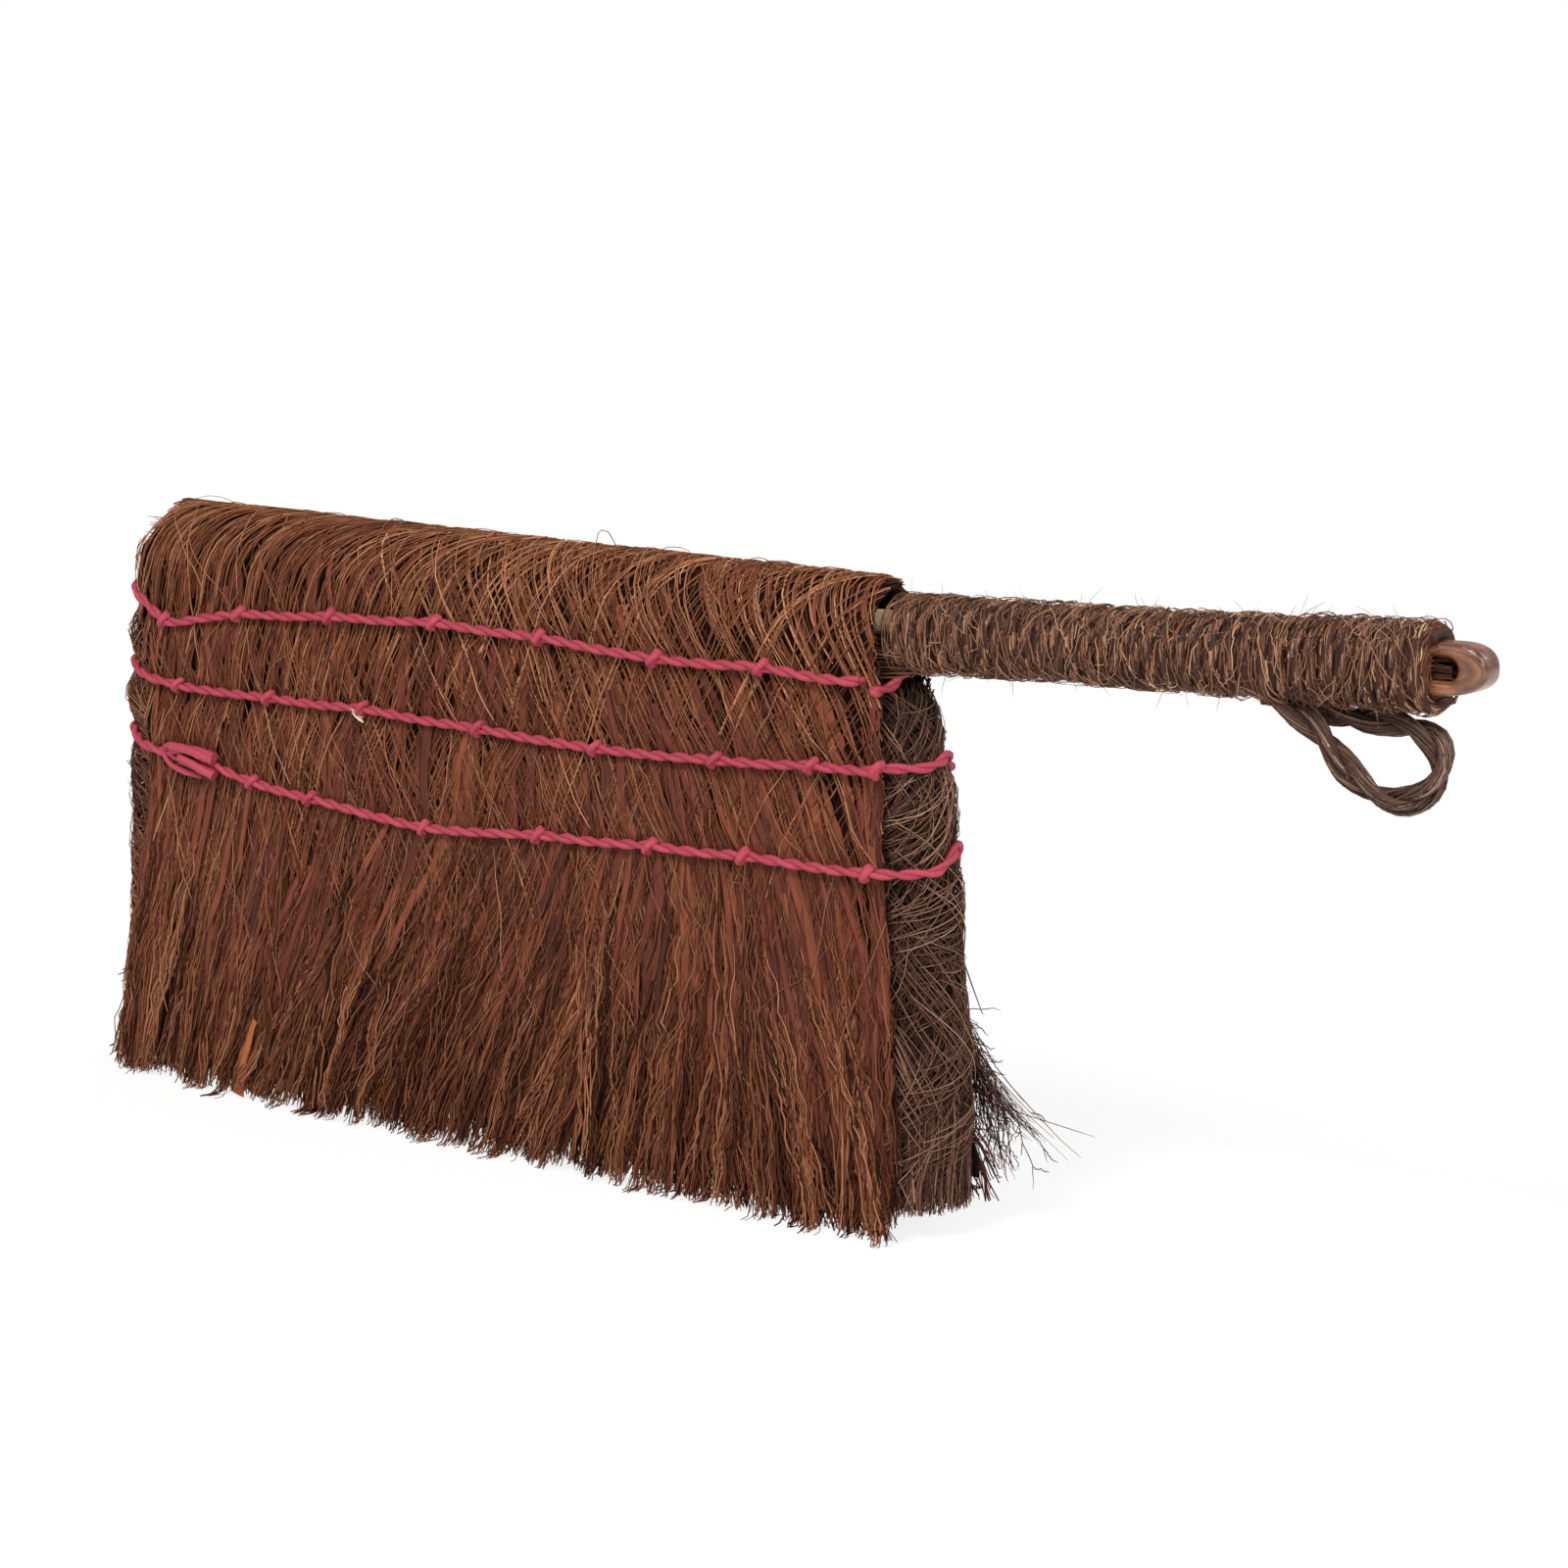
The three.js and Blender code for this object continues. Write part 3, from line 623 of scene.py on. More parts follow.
def ripple(x, s, phase):
    """A smooth field between -1 and 1 over the sheath."""
    waves = np.sin(x / 23 + s / 61 + phase) + np.sin(x / 41 - s / 37 + 2.3 * phase)
    return (waves + np.sin(s / 29 + x / 90 + 4.1 * phase)) / 3


# Lean of the two families of fibres, in degrees by S, at the left, the middle and the right of the head.
LEAN_AT = [
    0, S_LOWER, (S_LOWER + S_MIDDLE) / 2, S_MIDDLE, S_UPPER, (S_UPPER + S_CROWN) / 2, S_CROWN,
    S_CROWN + 25, S_END,
]
LEAN_X = [-105, -15, 90]
SLASH = [
    [14, 18, 20, 18, 15, 38, 56, 50, 12],
    [20, 28, 32, 30, 22, 40, 56, 50, 12],
    [14, 22, 28, 32, 28, 36, 44, 40, 12],
]
BACKSLASH = [
    [-10, -20, -26, -26, -22, -18, -10, -20, -8],
    [-14, -28, -32, -32, -30, -24, -10, -20, -8],
    [-9, -18, -26, -28, -32, -20, -6, -20, -8],
]


def lean_by(table, x, s):
    columns = [np.interp(s, LEAN_AT, column) for column in table]
    share = np.interp(x, LEAN_X, [0, 1, 2])
    first = columns[0] + (columns[1] - columns[0]) * np.minimum(share, 1)
    return first + (columns[2] - columns[1]) * np.maximum(share - 1, 0)


def slash(x, s):
    """Lean of the fibres that climb to the right."""
    return lean_by(SLASH, x, s) * (1 + 0.25 * ripple(x, s, 0.4))


def backslash(x, s):
    """Lean of the fibres that climb to the left."""
    return lean_by(BACKSLASH, x, s) * (1 + 0.25 * ripple(x, s, 1.7))


def drift(rng, x, s, length, points, lean, wander):
    """Courses over the sheath from a start, leaning as the weave does there."""
    step = length / (points - 1)
    own = rng.normal(0, wander, len(x))
    xs, ss = [x], [s]
    for _ in range(points - 1):
        own = 0.85 * own + rng.normal(0, 0.6 * wander, len(x))
        angle = np.radians(lean(xs[-1], ss[-1]) + own)
        xs.append(xs[-1] + step * np.sin(angle))
        ss.append(ss[-1] + step * np.cos(angle))
    return np.stack(xs, 1), np.stack(ss, 1)


CREEP = 0.02  # share of each step that a course still makes once it is ended


def halted(x, s, room):
    """Courses ended both ways from their middle where room runs out; those without any are left out."""
    middle = x.shape[1] // 2
    kept = room[:, middle] > 0
    x, s, room = x[kept], s[kept], room[kept]
    new_x, new_s = x.copy(), s.copy()
    for way in (1, -1):
        ended = np.zeros(len(x), bool)
        at = middle + way
        while 0 <= at < x.shape[1]:
            before, after = room[:, at - way], room[:, at]
            outside = after < 0
            reach = np.clip(before / np.where(outside, before - after, 1), CREEP, 1)
            rate = np.where(ended, CREEP, np.where(outside, reach, 1))
            new_x[:, at] = new_x[:, at - way] + rate * (x[:, at] - x[:, at - way])
            new_s[:, at] = new_s[:, at - way] + rate * (s[:, at] - s[:, at - way])
            ended = ended | outside
            at += way
    return new_x, new_s, kept


def trimmed(x, s, over, low=S_MARGIN, high=S_END - S_MARGIN):
    """Courses ended a little over the sheath's side edges, or at the ends of a range of S."""
    left, right = sheath.sides(s)
    return halted(x, s, np.minimum(np.minimum(x - left, right - x) + over, np.minimum(s - low, high - s)))


def laid(x, s, lift):
    """Routes of fibres on the sheath, under the stitching; what is too long lies out on the floor."""
    held = np.clip(s, S_MARGIN, S_END - S_MARGIN)
    z = sheath.place(x, held)[..., 2]
    closed = lift - 0.9 * eased(2.6, 0, x - sheath.sides(held)[0])
    routes = sheath.place(x, held, under_twine(x, z, closed))
    routes[..., 1] += s - held
    return routes


EVEN_STEPS = (0.7548777, 0.5698403)  # of a sequence that fills a square evenly


def scattered(rng, count):
    """Pairs of shares, spread evenly."""
    return (np.arange(count)[:, None] * EVEN_STEPS + rng.random(2)).T % 1


# Woven fibres of the outer sheath.
WEAVE_LEFT, WEAVE_WIDTH = -150, 295  # a little past both edges of the sheath
RAGGED_TIPS, RAGGED_ENDS = 5, 26  # how far fibres end apart at the sheath's tips, and elsewhere


def weave(rng, count, span, share, lengths, points, lifts, wander):
    """Crossing fibres over a span of the sheath: share(x, s) is the part of them that climbs to the right."""
    low, high = span
    across, up = scattered(rng, count)
    x = WEAVE_LEFT + WEAVE_WIDTH * across
    s = low + (high - low) * up
    length = rng.uniform(*lengths, count)
    rising = rng.random(count) < share(x, s)
    s = s - length / 2
    xs, ss = np.zeros((count, points)), np.zeros((count, points))
    for chosen, lean in ((rising, slash), (~rising, backslash)):
        start = x[chosen] - 0.5 * length[chosen] * np.sin(np.radians(lean(x[chosen], s[chosen])))
        xs[chosen], ss[chosen] = drift(rng, start, s[chosen], length[chosen], points, lean, wander)
    xs = xs + rng.normal(0, 0.18, (count, points))
    ragged = rng.uniform(0, 1, (count, 1))
    first = low + RAGGED_TIPS * ragged if low < 1 else low - RAGGED_ENDS * ragged
    last = high - RAGGED_TIPS * ragged if high > S_END - 1 else high + RAGGED_ENDS * ragged
    first, last = np.maximum(first, S_MARGIN), np.minimum(last, S_END - S_MARGIN)
    over = np.minimum(rng.exponential(0.25, (count, 1)), 0.6) - 0.4
    xs, ss, kept = trimmed(xs, ss, over, first, last)
    phase = np.linspace(0, 1, points) * rng.uniform(3, 12, (count, 1)) + rng.uniform(0, 6, (count, 1))
    lift = rng.uniform(*lifts, count)[:, None] + 0.15 * np.sin(phase)
    return laid(xs, ss, lift[kept])


def front_share(x, s):
    fold = 1 - 0.68 * eased(-70, 40, x)
    bands = 0.72 - 0.3 * eased(-80, 40, x)
    low = 0.86 - 0.6 * eased(30, 95, x)
    return np.where(s > S_UPPER - 6, fold, np.where(s > S_LOWER, bands, low))


def back_share(x, s):
    return 0.5 + 0.3 * ripple(x, s, 3.0)


def patchy(routes):
    """Broad patches: darker between the rows; lighter on the fold's top and towards the tips as painted
    light.
    """
    x, _, z = routes[:, routes.shape[1] // 2].T
    between = eased(104, 114, z) * eased(136, 126, z)
    central = eased(-60, -20, x) * eased(70, 30, x)
    # Painted light on the top of the fold, more at the right.
    painted_fold_light = (0.02 + 0.07 * eased(30, 80, x)) * eased(134, 142, z)
    # The last term is painted light at the tips, in place of bounce from the floor.
    level = painted_fold_light - (0.11 + 0.07 * central) * between + 0.1 * eased(45, 20, z)
    return 0.1 * ripple(x, z, 5.2) + 0.08 * ripple(3 * x, 4 * z, 2.2) + level


def make_weave(name, seed, count, span, share, lengths, points, lifts, radii, tones, wander=3.5):
    rng = np.random.default_rng(seed)
    routes = weave(rng, count, span, share, lengths, points, lifts, wander)
    total = len(routes)
    radius = thickness(rng, radii, total, points, 0.6, 0.5)
    low, high = tones
    tone = rng.beta(2, 2, total) * (high - low) + low + patchy(routes)
    strands(name, routes, radius, np.clip(tone, 0, 1), red_fibre)


# Deeper layers get darker tones: the ground layers' darkest tones are painted shade under the fibres above
# them.
make_weave(
    "sheath_ground_front", seed=1, count=2150, span=(0, S_CROWN + 18), share=front_share,
    lengths=(35, 80), points=9, lifts=(-1.4, -0.8), radii=(0.14, 0.24), tones=(0.0, 0.27),
)
make_weave(
    "sheath_weave_front", seed=2, count=1150, span=(S_LOWER - 22, S_CROWN + 30), share=front_share,
    lengths=(42, 95), points=16, lifts=(-0.55, 0.4), radii=(0.19, 0.36), tones=(0.3, 0.95), wander=2.4,
)
make_weave(
    "sheath_singles_front", seed=5, count=900, span=(S_LOWER - 30, S_CROWN + 30), share=front_share,
    lengths=(20, 60), points=11, lifts=(0.2, 0.7), radii=(0.11, 0.19), tones=(0.4, 0.95), wander=4.0,
)
make_weave(
    "sheath_net_skirt", seed=6, count=1000, span=(6, S_LOWER + 4), share=front_share,
    lengths=(14, 44), points=10, lifts=(0.0, 0.65), radii=(0.11, 0.2), tones=(0.2, 0.85), wander=7.0,
)
make_weave(
    "sheath_ground_back", seed=3, count=1700, span=(S_CROWN + 10, S_END), share=back_share,
    lengths=(45, 90), points=8, lifts=(-1.3, -0.5), radii=(0.15, 0.24), tones=(0.0, 0.4),
)
make_weave(
    "sheath_weave_back", seed=4, count=2120, span=(S_CROWN + 15, S_END - S_LOWER + 26), share=back_share,
    lengths=(50, 100), points=9, lifts=(-0.6, 0.4), radii=(0.2, 0.35), tones=(0.12, 0.9),
)


# Skirt below the lower stitching: fibres that hang in locks.
SKIRT_LEAN = ([-140, -90, -40, 30, 70, 100, 140], [9, 14, 24, 22, 2, -15, -12])  # in degrees by X
SKIRT_SWEEP = ([0, 45, 95], [0.75, 1.1, 0.9])  # share of the lean by S


def skirt_lean(x, s):
    return np.interp(x, *SKIRT_LEAN) * np.interp(s, *SKIRT_SWEEP)


def make_skirt(name, seed, count, members, points, lifts, front=True):
    """Locks of fibres with the same course, gathered below the stitching and ragged at their tips."""
    rng = np.random.default_rng(seed)
    lock, member, point = (count, 1), (count, members, 1), (count, members, points)
    x = rng.uniform(-152, 140, count)
    tip = rng.uniform(-4, 2, count) + 4 * eased(0.25, 0.7, ripple(9 * x, 40, 1.1))
    length = rng.uniform(45, 98, count)
    own = rng.normal(0, 8, count)
    xs, ss = drift(rng, x, tip, length, points, lambda a, b: skirt_lean(a, b) + own, 3.0)
    t = np.linspace(0, 1, points)
    gather = np.interp(t, [0, 0.2, 0.55, 1], [1.1, 0.6, 0.75, 1.5])
    wide = rng.uniform(0.5, 1.9, count)
    aside = rng.normal(0, 1, member) * wide[:, None, None] * gather
    aside = aside + rng.normal(0, 0.26, point).cumsum(2) + rng.normal(0, 0.42, point)
    wave = np.sin(TURN * ss / rng.uniform(11, 26, lock) + rng.uniform(0, TURN, lock))
    xs = xs + wave * rng.uniform(0.2, 0.95, lock)
    xs = (xs[:, None, :] + aside).reshape(-1, points)
    ends = rng.normal(0, 1.6, member) * (1 - t)
    ss = (ss[:, None, :] + ends).reshape(-1, points)
    lift = rng.uniform(*lifts, (count, 1, 1)) + rng.normal(0, 0.3, member)
    splay = np.clip(rng.normal(1.0, 1.1, (count, 1, 1)) + rng.normal(0, 0.7, member), -0.6, 2.2)
    lift = (lift + splay * (1 - t) ** 2 * 2.2 + rng.normal(0, 0.12, point)).reshape(-1, points)
    total = count * members
    tone = np.repeat(rng.beta(2, 2, count) * 0.66 + 0.12, members) + rng.normal(0, 0.18, total)
    radius = rng.uniform(0.14, 0.32, total)
    longer = np.minimum(rng.exponential(3.5, lock), 4.5) * (rng.random(lock) < 0.45)
    shorter = rng.exponential(2.2, lock) * (longer == 0)
    low = 0.4 + rng.exponential(1.1, (total, 1)) + np.repeat(shorter - longer, members, 0)
    over = rng.exponential(0.3, (total, 1)) - 0.2
    xs, ss, kept = trimmed(xs, ss if front else S_END - ss, over, low, S_END - low)
    routes = laid(xs, ss, lift[kept])
    tone = np.clip(tone[kept] + patchy(routes), 0, 0.84)
    radius = radius[kept][:, None] * taper(points, 0.7, 0.6)
    strands(name, routes, radius, tone, red_fibre)


make_skirt("sheath_skirt_deep", seed=11, count=85, members=10, points=14, lifts=(-1.2, -0.6))
make_skirt("sheath_skirt_under", seed=14, count=85, members=10, points=20, lifts=(-0.9, -0.1))
make_skirt("sheath_skirt_over", seed=13, count=75, members=10, points=25, lifts=(-0.5, 0.3))
make_skirt("sheath_skirt_top", seed=15, count=70, members=10, points=25, lifts=(-0.1, 0.7))
make_skirt("sheath_skirt_back", seed=12, count=180, members=9, points=11, lifts=(-0.9, 0.5), front=False)


# Flat ribbons of membrane between the fibres, and narrow ones along the right edge.
def ribbon_lean(x, s):
    crossed = 0.5 * slash(x, s) + 0.3 * backslash(x, s)
    crossed = crossed + eased(0, 70, x) * (0.9 * backslash(x, s) - crossed)
    inside = np.where(s < S_LOWER, skirt_lean(x, s), np.where(s > S_CROWN, 4.0, crossed))
    return inside + eased(8, 4, sheath.sides(s)[1] - x) * (-3.0 - inside)


def make_ribbons():
    """Strips of all zones of the sheath, the last of them a bright one at the front tips."""
    rng = np.random.default_rng(21)
    points, brink = 10, 34
    # Count, and ranges of X, S, length, half width and lift. For the edge, X is the distance from it.
    skirt = (340, (-140, 128), (1, 66), (18, 66), (0.5, 1.8), (-0.4, 0.65))
    side = (120, (86, 134), (2, 84), (26, 64), (0.6, 1.9), (-0.6, 0.35))
    bands = (290, (-124, 128), (S_LOWER - 10, S_UPPER - 8), (10, 34), (0.6, 2.0), (-0.7, 0.1))
    fold = (80, (-122, 120), (S_UPPER, S_CROWN - 4), (8, 26), (0.4, 1.3), (-0.6, 0.1))
    back = (190, (-140, 130), (S_END - 80, S_END - 4), (-70, -24), (0.6, 1.9), (-0.4, 0.6))
    edge = (brink, (0.9, 3.6), (S_LOWER - 78, S_UPPER - 30), (24, 52), (0.5, 1.3), (-0.4, 0.5))
    bright = (1, (-88, -87), (0.3, 0.5), (22, 23), (2.8, 2.9), (2.3, 2.4))
    zones = (skirt, side, bands, fold, back, edge, bright)

    def spread(column):
        return np.concatenate([rng.uniform(*zone[column], zone[0]) for zone in zones])

    x, s, length, wide, lift = (spread(column) for column in range(1, 6))
    count = len(x)
    at_edge = slice(-1 - brink, -1)
    x[at_edge] = sheath.sides(s[at_edge])[1] - x[at_edge]
    xs, ss = drift(rng, x, s, length, points, ribbon_lean, 6.0)
    lift = lift[:, None] + walk(rng, 0.07, (count, points))
    ends = np.interp(np.linspace(0, 1, points), [0, 0.1, 0.85, 1], [0.35, 0.9, 1, 0.4])
    wide = wide[:, None] * ends * rng.uniform(0.75, 1.2, (count, points))
    tone = np.clip(rng.beta(2, 2, count), 0, 0.86)
    tone[-1] = 1
    wide[-1] = np.linspace(2.9, 1.1, points)
    xs, ss, kept = trimmed(xs, ss, -0.3 - 0.75 * wide.max(1, keepdims=True))
    routes = laid(xs, ss, lift[kept])
    out = sheath.facing(np.clip(ss, 0, S_END)) + rng.normal(0, 0.2, (len(xs), 1, 1)) * np.array([1, 0, 0])
    across = unit(np.cross(unit(out), np.gradient(routes, axis=1) + 1e-6))
    strands(
        "sheath_ribbons", routes, wide[kept], tone[kept], strip_skin,
        sides=6, flat=0.1, facing=across,
    )


make_ribbons()


# Loose light fibres that lie over the rest.
def make_strays():
    """Single fibres that arch a little off the front and the back."""
    rng = np.random.default_rng(23)
    count, points = 420, 14
    x = rng.uniform(-140, 130, count)
    behind = S_CROWN + 10
    at_front = rng.random(count) < 0.65
    s = np.where(at_front, rng.uniform(0, behind, count), rng.uniform(behind, S_END - 30, count))
    length = rng.uniform(14, 55, count)
    lean = np.where(rng.random(count) < 0.6, 22.0, -22.0)
    xs, ss = drift(rng, x, s, length, points, lambda a, b: lean, 15.0)
    arch = np.sin(np.linspace(0, math.pi, points))
    lift = rng.uniform(0.3, 0.8, count)[:, None] + rng.exponential(0.4, (count, 1)) * arch
    xs, ss, kept = trimmed(xs, ss, np.full((count, 1), -0.3))
    routes = laid(xs, ss, lift[kept])
    radius = thickness(rng, (0.1, 0.18), len(routes), points)
    tone = rng.uniform(0.5, 0.92, len(routes))
    strands("sheath_strays", routes, radius, tone, red_fibre)


make_strays()


# Matted ground under the fibres.
MAT_DEPTH, MAT_THICK = -1.35, 0.7
MAT_SHORT = 8  # of the sheath's tips


def make_sheath_mat():
    """A thin lumpy layer below the sheath's surface, from the front over the fold to the back."""
    rng = np.random.default_rng(31)
    grid = bmesh.new()
    bmesh.ops.create_grid(grid, x_segments=110, y_segments=130, size=1)
    flat = np.array([vertex.co for vertex in grid.verts])
    s = (flat[:, 1] + 1) / 2 * (S_END - 2 * MAT_SHORT) + MAT_SHORT
    left, right = sheath.sides(s)
    x = left + 0.7 + (flat[:, 0] + 1) / 2 * (right - left - 2.3)
    lumps = 0.35 * ripple(4 * x, 5 * s, 0.9) + rng.normal(0, 0.1, len(x))
    placed = sheath.place(x, s, MAT_DEPTH + np.minimum(lumps, 0.25)) * MM
    for vertex, place in zip(grid.verts, placed):
        vertex.co = place
    bmesh.ops.recalc_face_normals(grid, faces=grid.faces)
    bmesh.ops.solidify(grid, geom=grid.faces, thickness=MAT_THICK * MM)
    mesh = bpy.data.meshes.new("sheath_mat")
    grid.to_mesh(mesh)
    grid.free()
    mesh.shade_smooth()
    made = piece("sheath_mat", mesh, red_mat)
    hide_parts("outer_sheath")


make_sheath_mat()


def make_mat(name, nodes, inset, lowest, finish, start=None, end=None):
    """A shrunken, uneven copy of solids under fibres, short of the tips and between two places along X."""
    rng = np.random.default_rng(len(name))
    shape = bmesh.new()
    for node in nodes:
        shape.from_mesh(NODES[node].data)
    bmesh.ops.remove_doubles(shape, verts=shape.verts, dist=0.01 * MM)
    for limit, way in ((start, 1), (end, -1)):
        if limit is not None:
            parts = shape.verts[:] + shape.edges[:] + shape.faces[:]
            cut = {"plane_co": (limit * MM, 0, 0), "plane_no": (way, 0, 0)}
            bmesh.ops.bisect_plane(shape, geom=parts, clear_inner=True, **cut)
    shape.normal_update()
    for vertex in shape.verts:
        vertex.co -= vertex.normal * (inset + rng.uniform(0, 0.2)) * MM
        vertex.co.z = max(vertex.co.z, lowest * MM)
    bmesh.ops.dissolve_degenerate(shape, edges=shape.edges, dist=0.001 * MM)
    mesh = bpy.data.meshes.new(name)
    shape.to_mesh(mesh)
    shape.free()
    made = piece(name, mesh, finish)
    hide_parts(*nodes)


make_mat("pad_mat", ["pad_wrap_sheath"], 0.9, 13, dark_mat)
make_mat("bat_mat", ["front_bat", "back_bat"], 0.3, 8, fill_mat)
make_mat("ply_mat", ["rear_ply"], 0.5, 8, dark_mat, end=124)
make_mat("roll_mat", ["fold_roll"], 0.4, 0, fill_mat)
make_mat("padding_mat", ["handle_padding"], 0.4, 0, fill_mat, start=131)


# Dark pad: fibres that cross each other round its two noses.
PAD_MIDDLE = -1.0  # Y
PAD_HALF = 11.5  # of its depth at the tips
SHOULDER = 8.5  # rounding of the pad's top at its ends


class Nose:
    """One end of the dark pad by height Z and by the distance A round it from its tip, front to back."""

    def __init__(self, way):
        self.way = way
        drop = 0.05 if way > 0 else 0
        self.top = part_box("pad_wrap_sheath")[1].z / MM * (1 - drop) - 1.5
        self.shoulder = self.top + (-2 if way > 0 else 3)
        self.z = np.linspace(0.5, self.top, 40)
        reach = [hit("pad_wrap_sheath", (way * FAR, PAD_MIDDLE, z), (-way, 0, 0))[0] for z in self.z]
        front = [hit("pad_wrap_sheath", (way * PROBE, -FAR, z), (0, 1, 0))[1] for z in self.z]
        self.half = PAD_MIDDLE - np.array(front)
        self.middle = np.array(reach) - way * self.half

    def place(self, a, z, lift):
        climb = np.clip((z - self.shoulder) / SHOULDER, 0, 0.97)
        recede = SHOULDER * (1 - np.sqrt(1 - climb ** 2))
        half = np.interp(z, self.z, self.half) + lift - 0.45 * recede
        turn = np.clip(a / half, -0.5 * math.pi, 0.5 * math.pi)
        flat = np.maximum(np.abs(a) - 0.5 * math.pi * half, 0)
        x = np.interp(z, self.z, self.middle) + self.way * (half * np.cos(turn) - flat - 0.55 * recede)
        return np.stack([x, PAD_MIDDLE + half * np.sin(turn), np.broadcast_to(z, x.shape)], -1)


noses = {way: Nose(way) for way in (1, -1)}


def row_round(way, name):
    """Turns round a nose and the heights of a row of stitching there."""
    turns, climb = ROUND[way]
    if name == "upper" and way > 0:
        climb = CLIMB
    start, end = STARTS[name][way > 0], ENDS[name][way > 0]
    return turns, start + (end - start) * np.array(climb)


def make_nose(name, seed, way, sheaves, base, slope, swollen, low_swell, finish):
    """Sheaves of fibres that sweep round one end of the pad and bulge between the rows of stitching."""
    rng = np.random.default_rng(seed)
    points, members = 11, 8
    middle = points // 2
    nose = noses[way]
    top = nose.top + 6
    across, up = scattered(rng, sheaves)
    a, z = 54 * across - 30, 3 + (top - 3) * up
    rising = rng.random(sheaves) < 0.62
    lean = np.where(rising, rng.normal(50, 9, sheaves), rng.normal(-38, 10, sheaves))
    length = rng.uniform(20, 58, sheaves)
    bend = rng.normal(-26, 13, sheaves) * np.where(rising, 1, 0.5)
    lift = rng.uniform(-1.1, 0.65, sheaves)
    plump = rng.uniform(0.05, 1, sheaves) ** 0.4
    shared = (a, z, lean, length, bend, lift, plump)
    a, z, lean, length, bend, lift, plump = (np.repeat(value, members) for value in shared)
    count = len(a)
    apart = np.repeat(rng.uniform(0.8, 1.7, sheaves), members)
    beside = np.tile(np.arange(members) - 0.5 * members, sheaves) * apart
    beside = beside + rng.normal(0, 0.3, count)
    shift = rng.normal(0, 5, count)
    sin, cos = np.sin(np.radians(lean)), np.cos(np.radians(lean))
    a, z = a + beside * cos + shift * sin, z - beside * sin + shift * cos
    t = np.linspace(-0.5, 0.5, points)
    angle = np.radians(lean[:, None] + 2 * bend[:, None] * t + walk(rng, 2.2, (count, points)))
    step = length[:, None] / (points - 1)
    across, up = (step * np.sin(angle)).cumsum(1), (step * np.cos(angle)).cumsum(1)
    a = a[:, None] + across - across[:, middle:middle + 1]
    z = z[:, None] + up - up[:, middle:middle + 1]
    cut = 6.5 if way > 0 else 0.3
    low, high = cut + rng.exponential(2.5, (count, 1)), top - rng.uniform(0, 2.5, (count, 1))
    a, z, kept = halted(a, z, np.minimum(np.minimum(z - low, high - z), 30 - np.abs(a)))
    count = len(a)
    lift = (lift[kept] + rng.normal(0, 0.12, count))[:, None]
    lift = lift + 0.15 * np.sin(7 * t + rng.uniform(0, 6, (count, 1)))
    # Deeper fibres get darker tones: painted shade.
    tone = np.clip(0.2 + 0.42 * (lift.mean(1) + 0.6) + rng.normal(0, 0.15, count), 0, 1)
    edge = ENDS["lower"][way > 0]
    swell = low_swell + (swollen - low_swell) * eased(edge - 32, edge - 10, z)
    turned = np.degrees(a / np.interp(z, nose.z, nose.half))
    for row in ENDS:
        off = np.maximum(np.abs(z - np.interp(turned, *row_round(way, row))) - 0.5 * TWINE, 0)
        swell = np.minimum(swell, slope * off)
        lift = np.minimum(lift, -0.9 + 0.3 * off)
    proud = (swell + base * eased(138, 128, z)) * eased(86, 56, np.abs(turned))
    routes = nose.place(a, np.maximum(z, 0.3), lift + proud * plump[kept][:, None])
    deep = np.where(lift.mean(1) < -0.5, 1.6, 1)
    radius = (deep * rng.uniform(0.12, 0.22, count))[:, None] * taper(points)
    strands(name, routes, radius, tone, finish)


make_nose(
    "pad_nose_right", seed=51, way=1, sheaves=150, base=0.0, slope=0.16, swollen=1.0, low_swell=-0.3,
    finish=dark_fibre,
)
make_nose(
    "pad_nose_left", seed=52, way=-1, sheaves=185, base=1.2, slope=0.36, swollen=3.0, low_swell=1.7,
    finish=fill_fibre,
)


def make_nose_tips():
    """Cut ends of the dark sheath below its right nose."""
    rng = np.random.default_rng(53)
    count, points = 420, 6
    a = rng.uniform(-30, 26, count)
    tip = 6 + rng.exponential(1.6, count) - 5 * eased(-12, -30, a)
    z = straight(tip, rng.uniform(16, 34, count), points)
    a = a[:, None] + rng.normal(0, 0.12, (count, 1)) * z + walk(rng, 0.25, (count, points))
    lift = rng.uniform(-0.9, 0.1, (count, 1))
    lift = lift + rng.normal(0, 0.7, (count, 1)) * (1 - np.linspace(0, 1, points)) ** 2
    routes = noses[1].place(a, z, lift)
    radius = thickness(rng, (0.13, 0.26), count, points, 0.7, 0.5)
    strands("pad_nose_tips", routes, radius, rng.beta(2, 2.4, count), dark_fibre)


make_nose_tips()


# Rear ply: a thin dark net that frays out at the handle side.
TUFT_COURSE = [(128, 10, 66), (131, 11, 55), (136, 12, 43), (143, 12.5, 33), (151.5, 13, 26)]
TUFT_SINGLE = [(150, 12.8, 28.5), (163, 13, 27), (174, 13, 25.8)]


